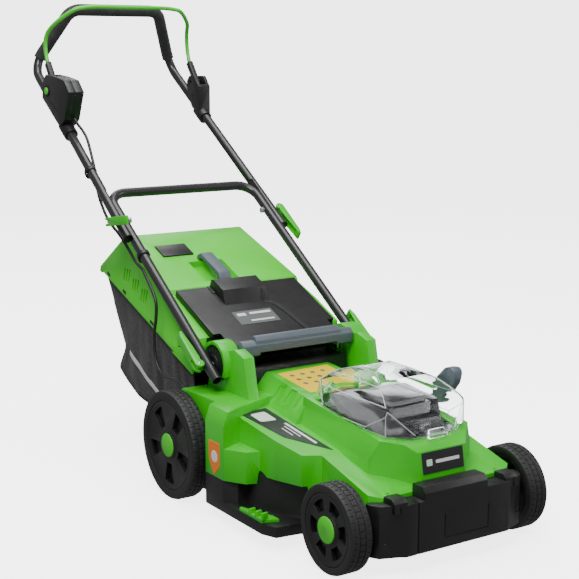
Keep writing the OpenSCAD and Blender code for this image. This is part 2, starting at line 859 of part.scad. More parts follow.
module bag_lid() {
  color("#74db49") placed() difference() {
    lid_form(0);
    difference() {
      lid_form(3);
      recess(4);
    }
    // open front edge and underside
    side_prism([[mouth_y - 1, 220], [mouth_y - 1, 300], [mouth_y + 12, 300], [mouth_y + 12, 220]], -134, 134);
    side_prism([[mouth_y, 215], [mouth_y, 228], [930, 361], [930, 340]], -174, 174);
    recess(0);
    // level window
    translate([-64, 768, 418]) rotate([22, 0, 0]) cube([72, 46, 30], center = true);
    // side vents
    mirrored() for (g = [0:2], i = [0:2])
      translate([163, 800 - g * 44 + i * 11, 368 - g * 15]) cube([40, 5, 26], center = true);
  }
}

module bag_handle() {
  // bar over the recess
  color("#5f6c78") placed() lid_frame() translate([handle_x - 14, 0, 0]) rotate([90, 0, 90])
    linear_extrude(28) polygon([
      [0, 0.1], [10, 0.1], [17, 8], [89, 8], [96, 0.1], [106, 0.1], [105, 8], [94, 19], [14, 19], [2, 9]
    ]);
}

module bag_level_flap() {
  color("#2c2c2d") placed() translate([-64, 768, 419]) rotate([22, 0, 0])
    cube([70.6, 44.6, 3], center = true);
}

// Side outline of the fabric, shrunk by g
module bag_form(g) {
  intersection() {
    side_prism([
      [mouth_y + 4, 100 + g], [mouth_y + 4, 221.5 + g], [930 - g, 356 + g], [930 - g, 346], [850 - g, 205],
      [892 - g, 150], [780 - g / 2, 104 + g], [700, 98 + g]
    ], -200, 200);
    front_prism(both_sides([[142 - g, 90], [175 - g, 222], [144 - g, 400], [0, 400]]), 400, 1000);
  }
}

module bag_fabric() {
  color("#262628") placed() difference() {
    bag_form(0);
    translate([0, -0.01, 0]) bag_form(2.5);
    // mouth opening
    plan_prism([[-139, 480], [139, 480], [139, 500], [-139, 500]], 104, 224);
  }
}

module bag_frame() {
  // rim of the mouth, with two hooks over the rear of the deck
  color("#2c2c2e") placed() difference() {
    union() {
      translate([-146, mouth_y, 102]) cube([292, 3.7, 190]);
      mirrored() translate([96, mouth_y - 3, 262]) cube([24, 4, 26]);
    }
    translate([-134, mouth_y - 5, 114]) cube([268, 12, 146]);
  }
}

// ---------- handle ----------

lower_legs = [
  [-lower_x, -42, 0], [-lower_x, lower_len, 0], [lower_x, lower_len, 0], [lower_x, -42, 0]
];

module lower_handle_tube() {
  path = rounded_path(lower_legs, corner_r, 8);
  color("#3b3b3e") placed() lower_frame() difference() {
    swept_bar(path, tube_r, 20, [1, 0, 0]);
    // flats where the upper tubes lie against the outside
    mirrored() translate([split_x - 0.2, clamp_s - 66, -20]) cube([30, 140, 40]);
    // open lower ends
    mirrored() translate([lower_x, -43, 0]) rotate([-90, 0, 0]) cylinder(h = 26, r = tube_r - 1.6);
    // bolt holes
    x_rod([0, 0], -200, 200, 4 + run);
    x_rod([clamp_s, 0], -200, 200, 3 + run);
  }
}

module pivot_discs() {
  color("#242426") placed() mirrored() difference() {
    union() {
      x_rod([pivot_y, pivot_z], 152.4, 163, 31);
      x_rod([pivot_y, pivot_z], 163, 165.2, 18);
    }
    x_rod([pivot_y, pivot_z], 150, 170, 4 + run);
    for (i = [0:17])
      translate([158, pivot_y, pivot_z]) rotate([i * 20, 0, 0]) translate([4, 24, -1]) cube([3, 12, 2]);
  }
}

module pivot_bolts() {
  color("#a4a7ab") placed() mirrored() {
    x_rod([pivot_y, pivot_z], 122, lower_cam_x, 4);
    x_rod([pivot_y, pivot_z], lower_cam_x - 1, lower_cam_x + cam_gap, 3);
    x_rod([pivot_y, pivot_z], 117, 122, 7.5, $fn = 6);
    at_cam(1, pivot_at, lower_cam_x, lower_angle, 0) bolt_eye();
  }
}

cam_gap = 9.4;
cam_pin_r = 2.5;

// Cam lever in its own frame: its cross pin runs along z at the origin,
// the arm points along +y, and the tube it presses on lies towards -x
module cam_lever(len) {
  difference() {
    union() {
      cylinder(h = 18, r = 9, center = true);
      translate([0, 0, -9]) linear_extrude(18)
        polygon([[-4, 0], [-6, 14], [-5, 40], [0, len], [5, len], [8, len - 14], [9, 0]]);
    }
    // hollow back of the arm, slot for the bolt's eye, pin hole
    translate([-8, 22, -6.5]) cube([11, len - 34, 13]);
    translate([-12, -12, -3.6]) cube([30, 27, 7.2]);
    cylinder(h = 20, r = cam_pin_r + run, center = true);
  }
}

// End of a clamp bolt: eye and cross pin in the cam lever's frame
module bolt_eye() {
  cylinder(h = 6.4, r = 5.4, center = true);
  cylinder(h = 18, r = cam_pin_r, center = true);
}

// Puts a lever or an eye at the outer end of a bolt. The closed arm points
// at angle turn above the rear; swing is how far it is opened.
module at_cam(side, p, x, turn, swing) {
  mirror([side < 0 ? 1 : 0, 0, 0]) translate([x + cam_gap, p[0], p[1]])
    rotate([turn, 0, 0]) rotate([0, 0, -swing]) children();
}

lower_cam_x = lower_x + tube_r;
upper_cam_x = upper_x0 + tube_r;
pivot_at = [pivot_y, pivot_z];
clamp_at = [clamp_y, clamp_z];
closed_down = lower_angle + 180;
right_turn = 171;

module lower_cam_right() {
  color("#58c832") placed() at_cam(-1, pivot_at, lower_cam_x, lower_angle, 0) cam_lever(84);
}

module lower_cam_left() {
  color("#58c832") placed() at_cam(1, pivot_at, lower_cam_x, lower_angle, 0) cam_lever(84);
}

// Route of the upper tube from its right lower end, round the grip, to its
// left lower end
function upper_at(s) =
  [upper_x0 + (upper_x1 - upper_x0) * s / 520, clamp_y + s * cos(lower_angle), clamp_z + s * sin(lower_angle)];

upper_half = [
  upper_at(-upper_end), [upper_x1 - 2, grip_corner[0], grip_corner[1]], [grip_half, grip_top[0], grip_top[1]]
];

function flip_x(p) = [-p[0], p[1], p[2]];

upper_route = concat(
  [for (p = upper_half) flip_x(p)],
  [for (i = [2:-1:0]) upper_half[i]]
);

upper_path = concat(
  [upper_route[0]],
  corner_arc(upper_route[0], upper_route[1], upper_route[2], 45, 8),
  corner_arc(upper_route[1], upper_route[2], upper_route[3], 34, 7),
  corner_arc(upper_route[2], upper_route[3], upper_route[4], 34, 7),
  corner_arc(upper_route[3], upper_route[4], upper_route[5], 45, 8),
  [upper_route[5]]
);

module upper_handle_tube() {
  color("#3b3b3e") placed() difference() {
    swept_bar(upper_path, tube_r, 20, [1, 0, 0]);
    // flats against the lower tubes
    clamp_frame() mirrored() translate([split_x - 29.8, -upper_end - 2, -20]) cube([30, 150, 40]);
    clamp_frame() x_rod([0, 0], -210, 210, 3 + run);
  }
}

module tube_end_caps() {
  color("#141415") placed() clamp_frame() mirrored() difference() {
    translate([upper_x0 + 0.8, -upper_end - 4, 0]) rotate([-90, 0, 0]) cylinder(h = 3.8, r = tube_r + 0.6);
    translate([split_x - 29.8, -upper_end - 6, -20]) cube([30, 20, 40]);
  }
}

module foam_grip() {
  n = len(upper_path);
  foam_path = [for (i = [7:n - 8]) upper_path[i]];
  color("#1a1a1b") placed() difference() {
    swept_bar(foam_path, foam_r, 20, [1, 0, 0]);
    swept_bar(upper_path, tube_r + 0.25, 20, [1, 0, 0]);
  }
}

module clamp_bolts() {
  color("#a4a7ab") placed() {
    mirrored() {
      x_rod(clamp_at, 160, upper_cam_x + cam_gap, 3);
      x_rod(clamp_at, 158, 164.6, 6.5, $fn = 6);
    }
    at_cam(1, clamp_at, upper_cam_x, closed_down, 0) bolt_eye();
    at_cam(-1, clamp_at, upper_cam_x, right_turn, 0) bolt_eye();
  }
}

module upper_cam_left() {
  // closed: the arm lies along the tube, towards the deck
  color("#58c832") placed() at_cam(1, clamp_at, upper_cam_x, closed_down, 0) cam_lever(92);
}

module upper_cam_right() {
  // the arm lies across the tube, pointing to the front
  color("#58c832") placed() at_cam(-1, clamp_at, upper_cam_x, right_turn, 0) cam_lever(88);
}

// ---------- switch box and bail ----------

box_profile = [
  [1042, 668], [1133, 728], [1129, 762], [1110, 780], [1060, 776], [1012, 769], [986, 744], [1014, 684]
];

module tube_bore(r) {
  swept_bar(upper_path, r, 20, [1, 0, 0]);
}

module box_shape(x0, x1) {
  side_prism(box_profile, x0, x1);
  // collar round the tube
  intersection() {
    placed_collar();
    translate([x0, 950, 600]) cube([x1 - x0, 250, 200]);
  }
}

module placed_collar() {
  clamp_frame() translate([-upper_x1 - 1, 288, 0]) rotate([-90, 0, 0]) cylinder(h = 40, r = 15.5);
}

module box_cavity(x0, x1) {
  side_prism([[1070, 706], [1122, 738], [1119, 758], [1106, 773], [1062, 770], [1016, 763], [994, 742], [1010, 712]], x0, x1);
}

module switch_box_shell() {
  color("#333336") placed() difference() {
    box_shape(-179.9, -160);
    box_cavity(-181, -163);
    tube_bore(tube_r + 0.3);
    // slot for the bail lever
    side_prism([[1070, 740], [1150, 740], [1150, 800], [1070, 800]], -187, -173);
    x_rod([bail_y, bail_z], -200, -150, 4 + run);
  }
}

module switch_box_cover() {
  color("#3a3a3d") placed() difference() {
    box_shape(-196, -180.1);
    box_cavity(-193, -179);
    tube_bore(tube_r + 0.3);
    side_prism([[1070, 740], [1150, 740], [1150, 800], [1070, 800]], -187, -173);
    x_rod([1106, 744], -200, -170, 8.5);
    x_rod([bail_y, bail_z], -194, -150, 4 + run);
  }
}

module start_button() {
  color("#86d85e") placed() {
    x_rod([1106, 744], -199, -190, 8);
    x_rod([1106, 744], -190.5, -189, 9.6);
  }
}

// Distance of the bracket's collar from the clamp, along the tube
bracket_s = 336;

module bail_bracket() {
  color("#29292b") placed() difference() {
    union() {
      side_prism([
        [1062, 688], [1094, 700], [1114, 732], [1118, 762], [1106, 774], [1082, 774], [1062, 750]
      ], 164, 195);
      clamp_frame() translate([upper_x1 + 1, bracket_s, 0]) rotate([-90, 0, 0]) cylinder(h = 36, r = 15.5);
    }
    tube_bore(tube_r + 0.3);
    side_prism([[1066, 742], [1150, 742], [1150, 800], [1066, 800]], 172, 188);
    x_rod([bail_y, bail_z], 160, 193, 4 + run);
    x_rod([1086, 728], 150, 168, 2.6);
  }
}

bail_leg = [
  [bail_x, 1116, 782], [bail_x, 1138, 812], [bail_x, 1146, 848], [164, 1110, 894], [130, 1084, 922]
];

bail_route = concat(
  [for (p = bail_leg) flip_x(p)],
  [for (i = [4:-1:0]) bail_leg[i]]
);

module bail_bar() {
  path = rounded_path(bail_route, 15, 4);
  color("#6fd141") placed() swept_bar(path, bail_r, 14, [1, 0, 0]);
}

module bail_lever() {
  // end fittings of the bail, each with its hinge pin
  reach = norm([1134 - bail_y, 806 - bail_z]);
  ang = atan2(806 - bail_z, 1134 - bail_y);
  color("#262628") placed() for (side = [-1, 1]) difference() {
    union() {
      x_rod([bail_y, bail_z], side * bail_x - 10, side * bail_x + 10, 4);
      x_rod([bail_y, bail_z], side * bail_x - 5.5, side * bail_x + 5.5, 8);
      translate([side * bail_x - 5.5, bail_y, bail_z]) rotate([ang, 0, 0])
        translate([0, 0, -6.5]) cube([11, reach - 2, 13]);
    }
    swept_bar(rounded_path(bail_route, 15, 4), bail_r + 0.1, 14, [1, 0, 0]);
  }
}

// ---------- control cable ----------

cable_r = 3.2;

// From the switch box, down along the right tube, to the deck's shoulder
cable_route = [
  [-174, 1008, 687], [-172, 1000, 676], [-169, 980, 662], [-168, 960, 644], [-168, 942, 614],
  [-168, 928, 586], [-168.5, 918, 566], [-171, 909, 552], [-176, 896, 538], [-180, 874, 518],
  [-180, 850, 492], [-180, 822, 474], [-180, 785, 457], [-180, 743, 431], [-182, 712, 413],
  [-186, 672, 402], [-191, 634, 378], [-194, 604, 350], [-195, 602, 316], [-195, 611, 283],
  [-195, 610, 246], [-195, 596, 218], [-195, 568, 206], [-195, 530, 208], [-194, 500, 202],
  [-193, 482.2, 192]
];

// Smooth curve through the route's points
function blend(a, b, c, d, t) =
  0.5 * (2 * b + (c - a) * t + (2 * a - 5 * b + 4 * c - d) * t * t + (3 * b - a - 3 * c + d) * t * t * t);

cable_path = let (m = len(cable_route) - 1) concat(
  [
    for (i = [0:m - 1], k = [0:2])
      blend(
        cable_route[max(i - 1, 0)], cable_route[i], cable_route[i + 1], cable_route[min(i + 2, m)], k / 3
      )
  ],
  [cable_route[m]]
);

module control_cable() {
  color("#161617") placed() swept_bar(cable_path, cable_r, 8, [1, 0, 0]);
}

// Clip round a tube and the cable beside it, at distance s up the handle
module clip_ring(s, tube_x, r) {
  clamp_frame() translate([tube_x, s, 0]) rotate([-90, 0, 0]) difference() {
    union() {
      cylinder(h = 9, r = r + 3);
      translate([0, 6, 0]) cylinder(h = 9, r = r + 1);
    }
    translate([0, 0, -1]) cylinder(h = 11, r = r + 0.3);
  }
}

module cable_clip_upper() {
  color("#19191a") placed() difference() {
    clip_ring(158, -upper_x0 + 2.5, tube_r);
    tube_bore(tube_r + 0.2);
    swept_bar(cable_path, cable_r + 0.2, 8, [1, 0, 0]);
  }
}

module cable_clip_lower() {
  color("#19191a") placed() difference() {
    clip_ring(-112, -lower_x, tube_r);
    swept_bar(cable_path, cable_r + 0.2, 8, [1, 0, 0]);
  }
}

deck_shell();
lower_deck();
front_bumper();
edge_combs();
carry_handle();
battery_tray();
motor();
axle_bushes();
flap_hinge_rod();
height_lever();
height_lever_knob();
front_axle();
rear_axle();
height_link_rod();
front_right_tyre();
front_right_rim();
front_right_cap();
front_left_tyre();
front_left_rim();
front_left_cap();
rear_right_tyre();
rear_right_rim();
rear_right_cap();
rear_left_tyre();
rear_left_rim();
rear_left_cap();
motor_shaft();
blade_adapter();
blade();
blade_bolt();
battery_cover();
cover_latch();
battery_pack();
safety_key();
rear_flap();
bag_lid();
bag_handle();
bag_fabric();
bag_frame();
bag_level_flap();
lower_handle_tube();
pivot_discs();
pivot_bolts();
lower_cam_right();
lower_cam_left();
cable_clip_lower();
upper_handle_tube();
clamp_bolts();
upper_cam_right();
upper_cam_left();
tube_end_caps();
foam_grip();
switch_box_shell();
switch_box_cover();
start_button();
bail_bracket();
bail_bar();
bail_lever();
cable_clip_upper();
control_cable();
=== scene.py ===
"""Looks of the push lawn mower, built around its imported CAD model."""
import json
import math

import bmesh
import bpy
from mathutils import Matrix, Vector, noise


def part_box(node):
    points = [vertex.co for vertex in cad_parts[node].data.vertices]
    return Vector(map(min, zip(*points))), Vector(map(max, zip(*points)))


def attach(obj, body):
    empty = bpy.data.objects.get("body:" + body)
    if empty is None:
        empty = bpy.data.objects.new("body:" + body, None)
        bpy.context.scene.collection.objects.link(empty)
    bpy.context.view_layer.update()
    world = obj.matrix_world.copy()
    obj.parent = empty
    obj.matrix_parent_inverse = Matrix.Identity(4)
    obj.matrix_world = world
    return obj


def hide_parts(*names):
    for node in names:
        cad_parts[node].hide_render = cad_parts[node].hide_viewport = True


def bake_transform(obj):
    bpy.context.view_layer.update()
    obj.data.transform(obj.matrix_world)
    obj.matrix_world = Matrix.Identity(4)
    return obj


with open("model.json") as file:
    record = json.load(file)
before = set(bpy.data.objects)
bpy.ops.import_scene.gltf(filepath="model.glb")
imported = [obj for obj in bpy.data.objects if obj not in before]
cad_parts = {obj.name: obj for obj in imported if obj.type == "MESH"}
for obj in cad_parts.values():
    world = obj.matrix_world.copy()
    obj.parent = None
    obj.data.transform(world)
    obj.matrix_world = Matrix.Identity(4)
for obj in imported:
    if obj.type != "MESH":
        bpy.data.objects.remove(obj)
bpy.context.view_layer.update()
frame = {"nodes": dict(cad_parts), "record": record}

MM = 0.001
low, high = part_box("front_left_tyre")
AXLE_Y = (low.y + high.y) / 2
BODY_OF = {node: body for body, nodes in frame["record"]["behaviour"]["bodies"].items() for node in nodes}
SLOT_OF = {entry["node"]: entry["material_slot"] for entry in frame["record"]["subparts"]}


def at(x, y, z):
    """A point given in millimetres from the ground below the front axle's middle."""
    return Vector((x * MM, AXLE_Y + y * MM, z * MM))


# ---------- camera, lights, floor ----------

CAMERA_PLACE = (-1335.5, -1615.4, 828.9)
CAMERA_YAW = 33.236
CAMERA_PITCH = 10.402
CAMERA_LENS = 80.4


def add_camera():
    data = bpy.data.cameras.new("camera")
    data.lens = CAMERA_LENS
    data.sensor_width = 36
    camera = bpy.data.objects.new("camera", data)
    camera.location = at(*CAMERA_PLACE)
    camera.rotation_euler = (math.radians(90 - CAMERA_PITCH), 0, math.radians(-CAMERA_YAW))
    bpy.context.scene.collection.objects.link(camera)
    bpy.context.scene.camera = camera


def add_light(name, place, target, size, power):
    data = bpy.data.lights.new(name, "AREA")
    data.shape = "RECTANGLE"
    data.size, data.size_y = size
    data.energy = power
    light = bpy.data.objects.new(name, data)
    light.location = place
    light.rotation_euler = (Vector(target) - Vector(place)).to_track_quat("-Z", "Y").to_euler()
    bpy.context.scene.collection.objects.link(light)


def bowl_mesh():
    """Round floor that curves up into a backdrop on all sides."""
    profile = [(0.0, 0.0), (2.0, 0.0), (5.0, 0.0), (6.5, 0.1), (7.8, 0.6), (8.7, 1.5), (9.2, 2.8), (9.4, 5.0)]
    sides = 64
    work = bmesh.new()
    centre = work.verts.new((0, 0, 0))
    rings = []
    for radius, height in profile[1:]:
        ring = []
        for k in range(sides):
            a = 2 * math.pi * k / sides
            ring.append(work.verts.new((radius * math.cos(a), radius * math.sin(a), height)))
        rings.append(ring)
    for k in range(sides):
        work.faces.new((centre, rings[0][k], rings[0][(k + 1) % sides]))
    for first, second in zip(rings, rings[1:]):
        for k in range(sides):
            work.faces.new((first[k], second[k], second[(k + 1) % sides], first[(k + 1) % sides]))
    mesh = bpy.data.meshes.new("floor")
    work.to_mesh(mesh)
    work.free()
    return mesh


def add_studio():
    world = bpy.data.worlds.new("studio")
    bpy.context.scene.world = world
    world.use_nodes = True
    background = world.node_tree.nodes["Background"]
    background.inputs["Color"].default_value = (1, 1, 1, 1)
    background.inputs["Strength"].default_value = 0.34
    middle = (0, 0, 0.3)
    add_light("key", (-1.5, -1.7, 2.7), middle, (1.3, 1.0), 84)
    add_light("fill", (2.4, -1.4, 1.5), middle, (1.8, 1.4), 18)
    add_light("back", (0.6, 2.6, 2.4), middle, (2.2, 1.0), 34)
    add_light("top", (0.0, 0.1, 3.0), (0, 0.1, 0), (1.8, 1.8), 66)
    mesh = bowl_mesh()
    floor = new_object("floor", mesh)
    mesh.polygons.foreach_set("use_smooth", [True] * len(mesh.polygons))
    mesh.materials.append(floor_material())
    floor.visible_diffuse = False
    floor.visible_glossy = False


# ---------- materials ----------


def new_material(name):
    material = bpy.data.materials.new(name)
    material.use_nodes = True
    tree = material.node_tree
    shader = tree.nodes["Principled BSDF"]
    place = tree.nodes.new("ShaderNodeTexCoord")
    return material, tree, shader, place.outputs["Object"]


def noise_of(tree, place, scale, detail=3.0, rough=0.5):
    node = tree.nodes.new("ShaderNodeTexNoise")
    node.inputs["Scale"].default_value = scale
    node.inputs["Detail"].default_value = detail
    node.inputs["Roughness"].default_value = rough
    tree.links.new(place, node.inputs["Vector"])
    return node.outputs["Fac"]


def ramp(tree, value, stops):
    node = tree.nodes.new("ShaderNodeValToRGB")
    ends = node.color_ramp.elements
    ends[0].position, ends[0].color = stops[0][0], (*stops[0][1], 1)
    ends[1].position, ends[1].color = stops[-1][0], (*stops[-1][1], 1)
    for position, colour in stops[1:-1]:
        ends.new(position).color = (*colour, 1)
    tree.links.new(value, node.inputs["Fac"])
    return node.outputs["Color"]


def span(tree, value, low_end, high_end):
    node = tree.nodes.new("ShaderNodeMapRange")
    node.inputs["From Min"].default_value = 0.3
    node.inputs["From Max"].default_value = 0.7
    node.inputs["To Min"].default_value = low_end
    node.inputs["To Max"].default_value = high_end
    tree.links.new(value, node.inputs["Value"])
    return node.outputs["Result"]


def bump(tree, shader, height, strength, distance=0.001):
    node = tree.nodes.new("ShaderNodeBump")
    node.inputs["Strength"].default_value = strength
    node.inputs["Distance"].default_value = distance
    tree.links.new(height, node.inputs["Height"])
    tree.links.new(node.outputs["Normal"], shader.inputs["Normal"])


def scaled(colour, k):
    return tuple(min(1.0, c * k) for c in colour)


def plastic(name, colour, rough=0.4, grain=700, relief=0.10, spread=0.05, coat=0.0):
    """Moulded plastic: fine texture, slight flow marks in colour and gloss."""
    material, tree, shader, place = new_material(name)
    broad = noise_of(tree, place, 9, 4)
    fine = noise_of(tree, place, grain, 2)
    tree.links.new(
        ramp(tree, broad, [(0.3, scaled(colour, 1 - spread)), (0.7, scaled(colour, 1 + spread))]),
        shader.inputs["Base Color"],
    )
    worn = span(tree, noise_of(tree, place, 60, 3), rough - 0.04, rough + 0.06)
    tree.links.new(worn, shader.inputs["Roughness"])
    shader.inputs["Coat Weight"].default_value = coat
    shader.inputs["Coat Roughness"].default_value = 0.25
    bump(tree, shader, fine, relief, 0.0004)
    return material


def metal(name, colour, rough, brushed=400):
    material, tree, shader, place = new_material(name)
    stretch = tree.nodes.new("ShaderNodeMapping")
    stretch.inputs["Scale"].default_value = (0.06, 1, 1)
    tree.links.new(place, stretch.inputs["Vector"])
    lines = noise_of(tree, stretch.outputs["Vector"], brushed, 3)
    tree.links.new(
        ramp(tree, lines, [(0.3, scaled(colour, 0.9)), (0.7, scaled(colour, 1.06))]),
        shader.inputs["Base Color"],
    )
    tree.links.new(span(tree, lines, rough - 0.05, rough + 0.1), shader.inputs["Roughness"])
    shader.inputs["Metallic"].default_value = 1.0
    bump(tree, shader, lines, 0.08, 0.0003)
    return material


def painted(name, colour, rough, coat=0.25):
    """Powder coat on steel tube: orange-peel relief and a soft coat."""
    material, tree, shader, place = new_material(name)
    peel = noise_of(tree, place, 420, 2)
    tree.links.new(
        ramp(tree, noise_of(tree, place, 14, 3), [(0.3, scaled(colour, 0.9)), (0.7, scaled(colour, 1.12))]),
        shader.inputs["Base Color"],
    )
    tree.links.new(span(tree, peel, rough - 0.04, rough + 0.05), shader.inputs["Roughness"])
    shader.inputs["Coat Weight"].default_value = coat
    shader.inputs["Coat Roughness"].default_value = 0.2
    bump(tree, shader, peel, 0.12, 0.0004)
    return material


def rubber(name, colour, rough, grain):
    material, tree, shader, place = new_material(name)
    fine = noise_of(tree, place, grain, 4)
    dust = noise_of(tree, place, 25, 4)
    tree.links.new(
        ramp(tree, dust, [(0.35, scaled(colour, 0.85)), (0.75, scaled(colour, 1.25))]),
        shader.inputs["Base Color"],
    )
    tree.links.new(span(tree, dust, rough - 0.05, rough + 0.08), shader.inputs["Roughness"])
    bump(tree, shader, fine, 0.25, 0.0005)
    return material


def foam_material():
    """Closed-cell foam sleeve: small cells and a soft sheen."""
    material, tree, shader, place = new_material("foam_sleeve")
    cells = tree.nodes.new("ShaderNodeTexVoronoi")
    cells.inputs["Scale"].default_value = 900
    tree.links.new(place, cells.inputs["Vector"])
    tree.links.new(
        ramp(
            tree, noise_of(tree, place, 60, 4), [(0.3, (0.012, 0.012, 0.013)), (0.7, (0.026, 0.026, 0.028))]
        ),
        shader.inputs["Base Color"],
    )
    shader.inputs["Roughness"].default_value = 0.78
    shader.inputs["Sheen Weight"].default_value = 0.12
    bump(tree, shader, cells.outputs["Distance"], 0.35, 0.0005)
    return material


def weave_material(name, dark, light, threads, relief, rough=0.82):
    """Woven cloth: two crossing sets of threads, drawn in object space."""
    material, tree, shader, place = new_material(name)
    heights = []
    for direction in ("X", "Z"):
        wave = tree.nodes.new("ShaderNodeTexWave")
        wave.wave_type = "BANDS"
        wave.bands_direction = direction
        wave.inputs["Scale"].default_value = threads
        wave.inputs["Distortion"].default_value = 0.6
        wave.inputs["Detail"].default_value = 1.0
        tree.links.new(place, wave.inputs["Vector"])
        heights.append(wave.outputs["Fac"])
    turned = tree.nodes.new("ShaderNodeMapping")
    turned.inputs["Rotation"].default_value = (0, 0, math.radians(90))
    tree.links.new(place, turned.inputs["Vector"])
    across = tree.nodes.new("ShaderNodeTexWave")
    across.bands_direction = "X"
    across.inputs["Scale"].default_value = threads
    across.inputs["Distortion"].default_value = 0.6
    tree.links.new(turned.outputs["Vector"], across.inputs["Vector"])
    first = tree.nodes.new("ShaderNodeMath")
    first.operation = "MAXIMUM"
    tree.links.new(heights[1], first.inputs[0])
    tree.links.new(across.outputs["Fac"], first.inputs[1])
    both = tree.nodes.new("ShaderNodeMath")
    both.operation = "MULTIPLY"
    tree.links.new(first.outputs[0], both.inputs[0])
    tree.links.new(heights[0], both.inputs[1])
    mixed = tree.nodes.new("ShaderNodeMath")
    mixed.operation = "ADD"
    tree.links.new(both.outputs[0], mixed.inputs[0])
    tree.links.new(noise_of(tree, place, 30, 4), mixed.inputs[1])
    tree.links.new(ramp(tree, mixed.outputs[0], [(0.25, dark), (1.0, light)]), shader.inputs["Base Color"])
    shader.inputs["Roughness"].default_value = rough
    shader.inputs["Sheen Weight"].default_value = 0.15
    bump(tree, shader, both.outputs[0], relief, 0.0006)
    return material


def clear_material():
    """Clear polycarbonate, with faint haze and fine scratches in its gloss."""
    material, tree, shader, place = new_material("clear_cover")
    shader.inputs["Base Color"].default_value = (0.95, 0.97, 0.98, 1)
    shader.inputs["IOR"].default_value = 1.22
    shader.inputs["Transmission Weight"].default_value = 1.0
    tree.links.new(span(tree, noise_of(tree, place, 220, 4), 0.01, 0.05), shader.inputs["Roughness"])
    bump(tree, shader, noise_of(tree, place, 30, 2), 0.02, 0.0004)
    return material


def floor_material():
    material, tree, shader, place = new_material("studio_floor")
    tree.links.new(
        ramp(tree, noise_of(tree, place, 2, 2), [(0.3, (0.84, 0.84, 0.85)), (0.7, (0.87, 0.87, 0.88))]),
        shader.inputs["Base Color"],
    )
    shader.inputs["Roughness"].default_value = 0.9
    shader.inputs["Specular IOR Level"].default_value = 0.1
    shader.inputs["Emission Color"].default_value = (1, 1, 1, 1)
    shader.inputs["Emission Strength"].default_value = 3.6
    return material


GREEN = (0.030, 0.500, 0.006)
LIGHT_GREEN = (0.060, 0.620, 0.012)
FINISH = {
    "green_plastic": plastic("green_plastic", GREEN, 0.34, 800, 0.06, 0.04, 0.10),
    "light_green_plastic": plastic("light_green_plastic", LIGHT_GREEN, 0.42, 500, 0.12, 0.04),
    "dark_plastic": plastic("dark_plastic", (0.0065, 0.0065, 0.007), 0.42, 420, 0.30, 0.10),
    "slate_plastic": plastic("slate_plastic", (0.085, 0.108, 0.130), 0.45, 380, 0.28, 0.06),
    "red_plastic": plastic("red_plastic", (0.12, 0.008, 0.006), 0.35, 700, 0.08, 0.05),
    "motor_metal": metal("motor_metal", (0.32, 0.32, 0.34), 0.45, 200),
    "steel": metal("plated_steel", (0.60, 0.61, 0.63), 0.28),
    "aluminium": metal("machined_aluminium", (0.62, 0.62, 0.64), 0.32, 300),
    "blade_steel": painted("blade_coat", (0.05, 0.05, 0.052), 0.45),
    "tube_paint": painted("tube_paint", (0.014, 0.014, 0.015), 0.33),
    "bail_paint": painted("bail_paint", (0.050, 0.560, 0.014), 0.30),
    "cable_sheath": rubber("cable_sheath", (0.014, 0.014, 0.015), 0.42, 500),
    "tyre": rubber("tyre_rubber", (0.012, 0.012, 0.0125), 0.58, 350),
    "foam": foam_material(),
    "bag_fabric": weave_material("bag_cloth", (0.0015, 0.0015, 0.0017), (0.008, 0.008, 0.009), 260, 0.5),
    "clear_plastic": clear_material(),
}

# ---------- carried-over shells ----------


def new_object(name, mesh):
    piece = bpy.data.objects.new(name, mesh)
    bpy.context.scene.collection.objects.link(piece)
    return piece


def apply_modifiers(piece):
    bpy.context.view_layer.update()
    graph = bpy.context.evaluated_depsgraph_get()
    mesh = bpy.data.meshes.new_from_object(piece.evaluated_get(graph))
    piece.modifiers.clear()
    piece.data = mesh


def shade(piece, angle=32):
    mesh = piece.data
    mesh.polygons.foreach_set("use_smooth", [True] * len(mesh.polygons))
    mesh.set_sharp_from_angle(angle=math.radians(angle))


def weld_and_flatten(mesh):
    """Joins the triangles of each flat face into one face."""
    work = bmesh.new()
    work.from_mesh(mesh)
    bmesh.ops.remove_doubles(work, verts=work.verts, dist=2e-6)
    bmesh.ops.dissolve_limit(
        work, angle_limit=math.radians(0.6), verts=work.verts, edges=work.edges, delimit={"NORMAL"}
    )
    work.to_mesh(mesh)
    work.free()


def box_cutters(boxes):
    """One mesh of boxes: two corners in millimetres, and a turn about an axis through a pivot."""
    work = bmesh.new()
    for first, second, turn, axis, pivot in boxes:
        middle = (Vector(first) + Vector(second)) / 2
        size = Vector(second) - Vector(first)
        place = Matrix.Translation(at(*middle)) @ Matrix.Diagonal((*(size * MM), 1))
        if turn:
            centre = Matrix.Translation(at(*pivot))
            place = centre @ Matrix.Rotation(turn, 4, axis) @ centre.inverted() @ place
        bmesh.ops.create_cube(work, size=1, matrix=place)
    mesh = bpy.data.meshes.new("cutters")
    work.to_mesh(mesh)
    work.free()
    return mesh


def carve(piece, boxes):
    """Cuts grooves into a copied shell."""
    cutter = new_object("cutters", box_cutters(boxes))
    cut = piece.modifiers.new("cut", "BOOLEAN")
    cut.operation = "DIFFERENCE"
    cut.solver = "EXACT"
    cut.object = cutter
    apply_modifiers(piece)
    bpy.data.objects.remove(cutter, do_unlink=True)


def tread_grooves(x_in, x_out, axle, radius, count):
    """Short grooves across both shoulders of a tyre, and offset ones in its middle."""
    boxes = []
    for k in range(count):
        turn = 2 * math.pi * k / count
        half = math.pi / count
        top = axle[1] + radius
        for low_x, high_x, extra in (
            (x_in - 1, x_in + 9, 0), (x_out - 9, x_out + 1, 0), (x_in + 13, x_out - 13, half)
        ):
            first, second = (low_x, axle[0] - 0.9, top - 1.1), (high_x, axle[0] + 0.9, top + 4)
            boxes.append((first, second, turn + extra, "X", (0, *axle)))
    return boxes


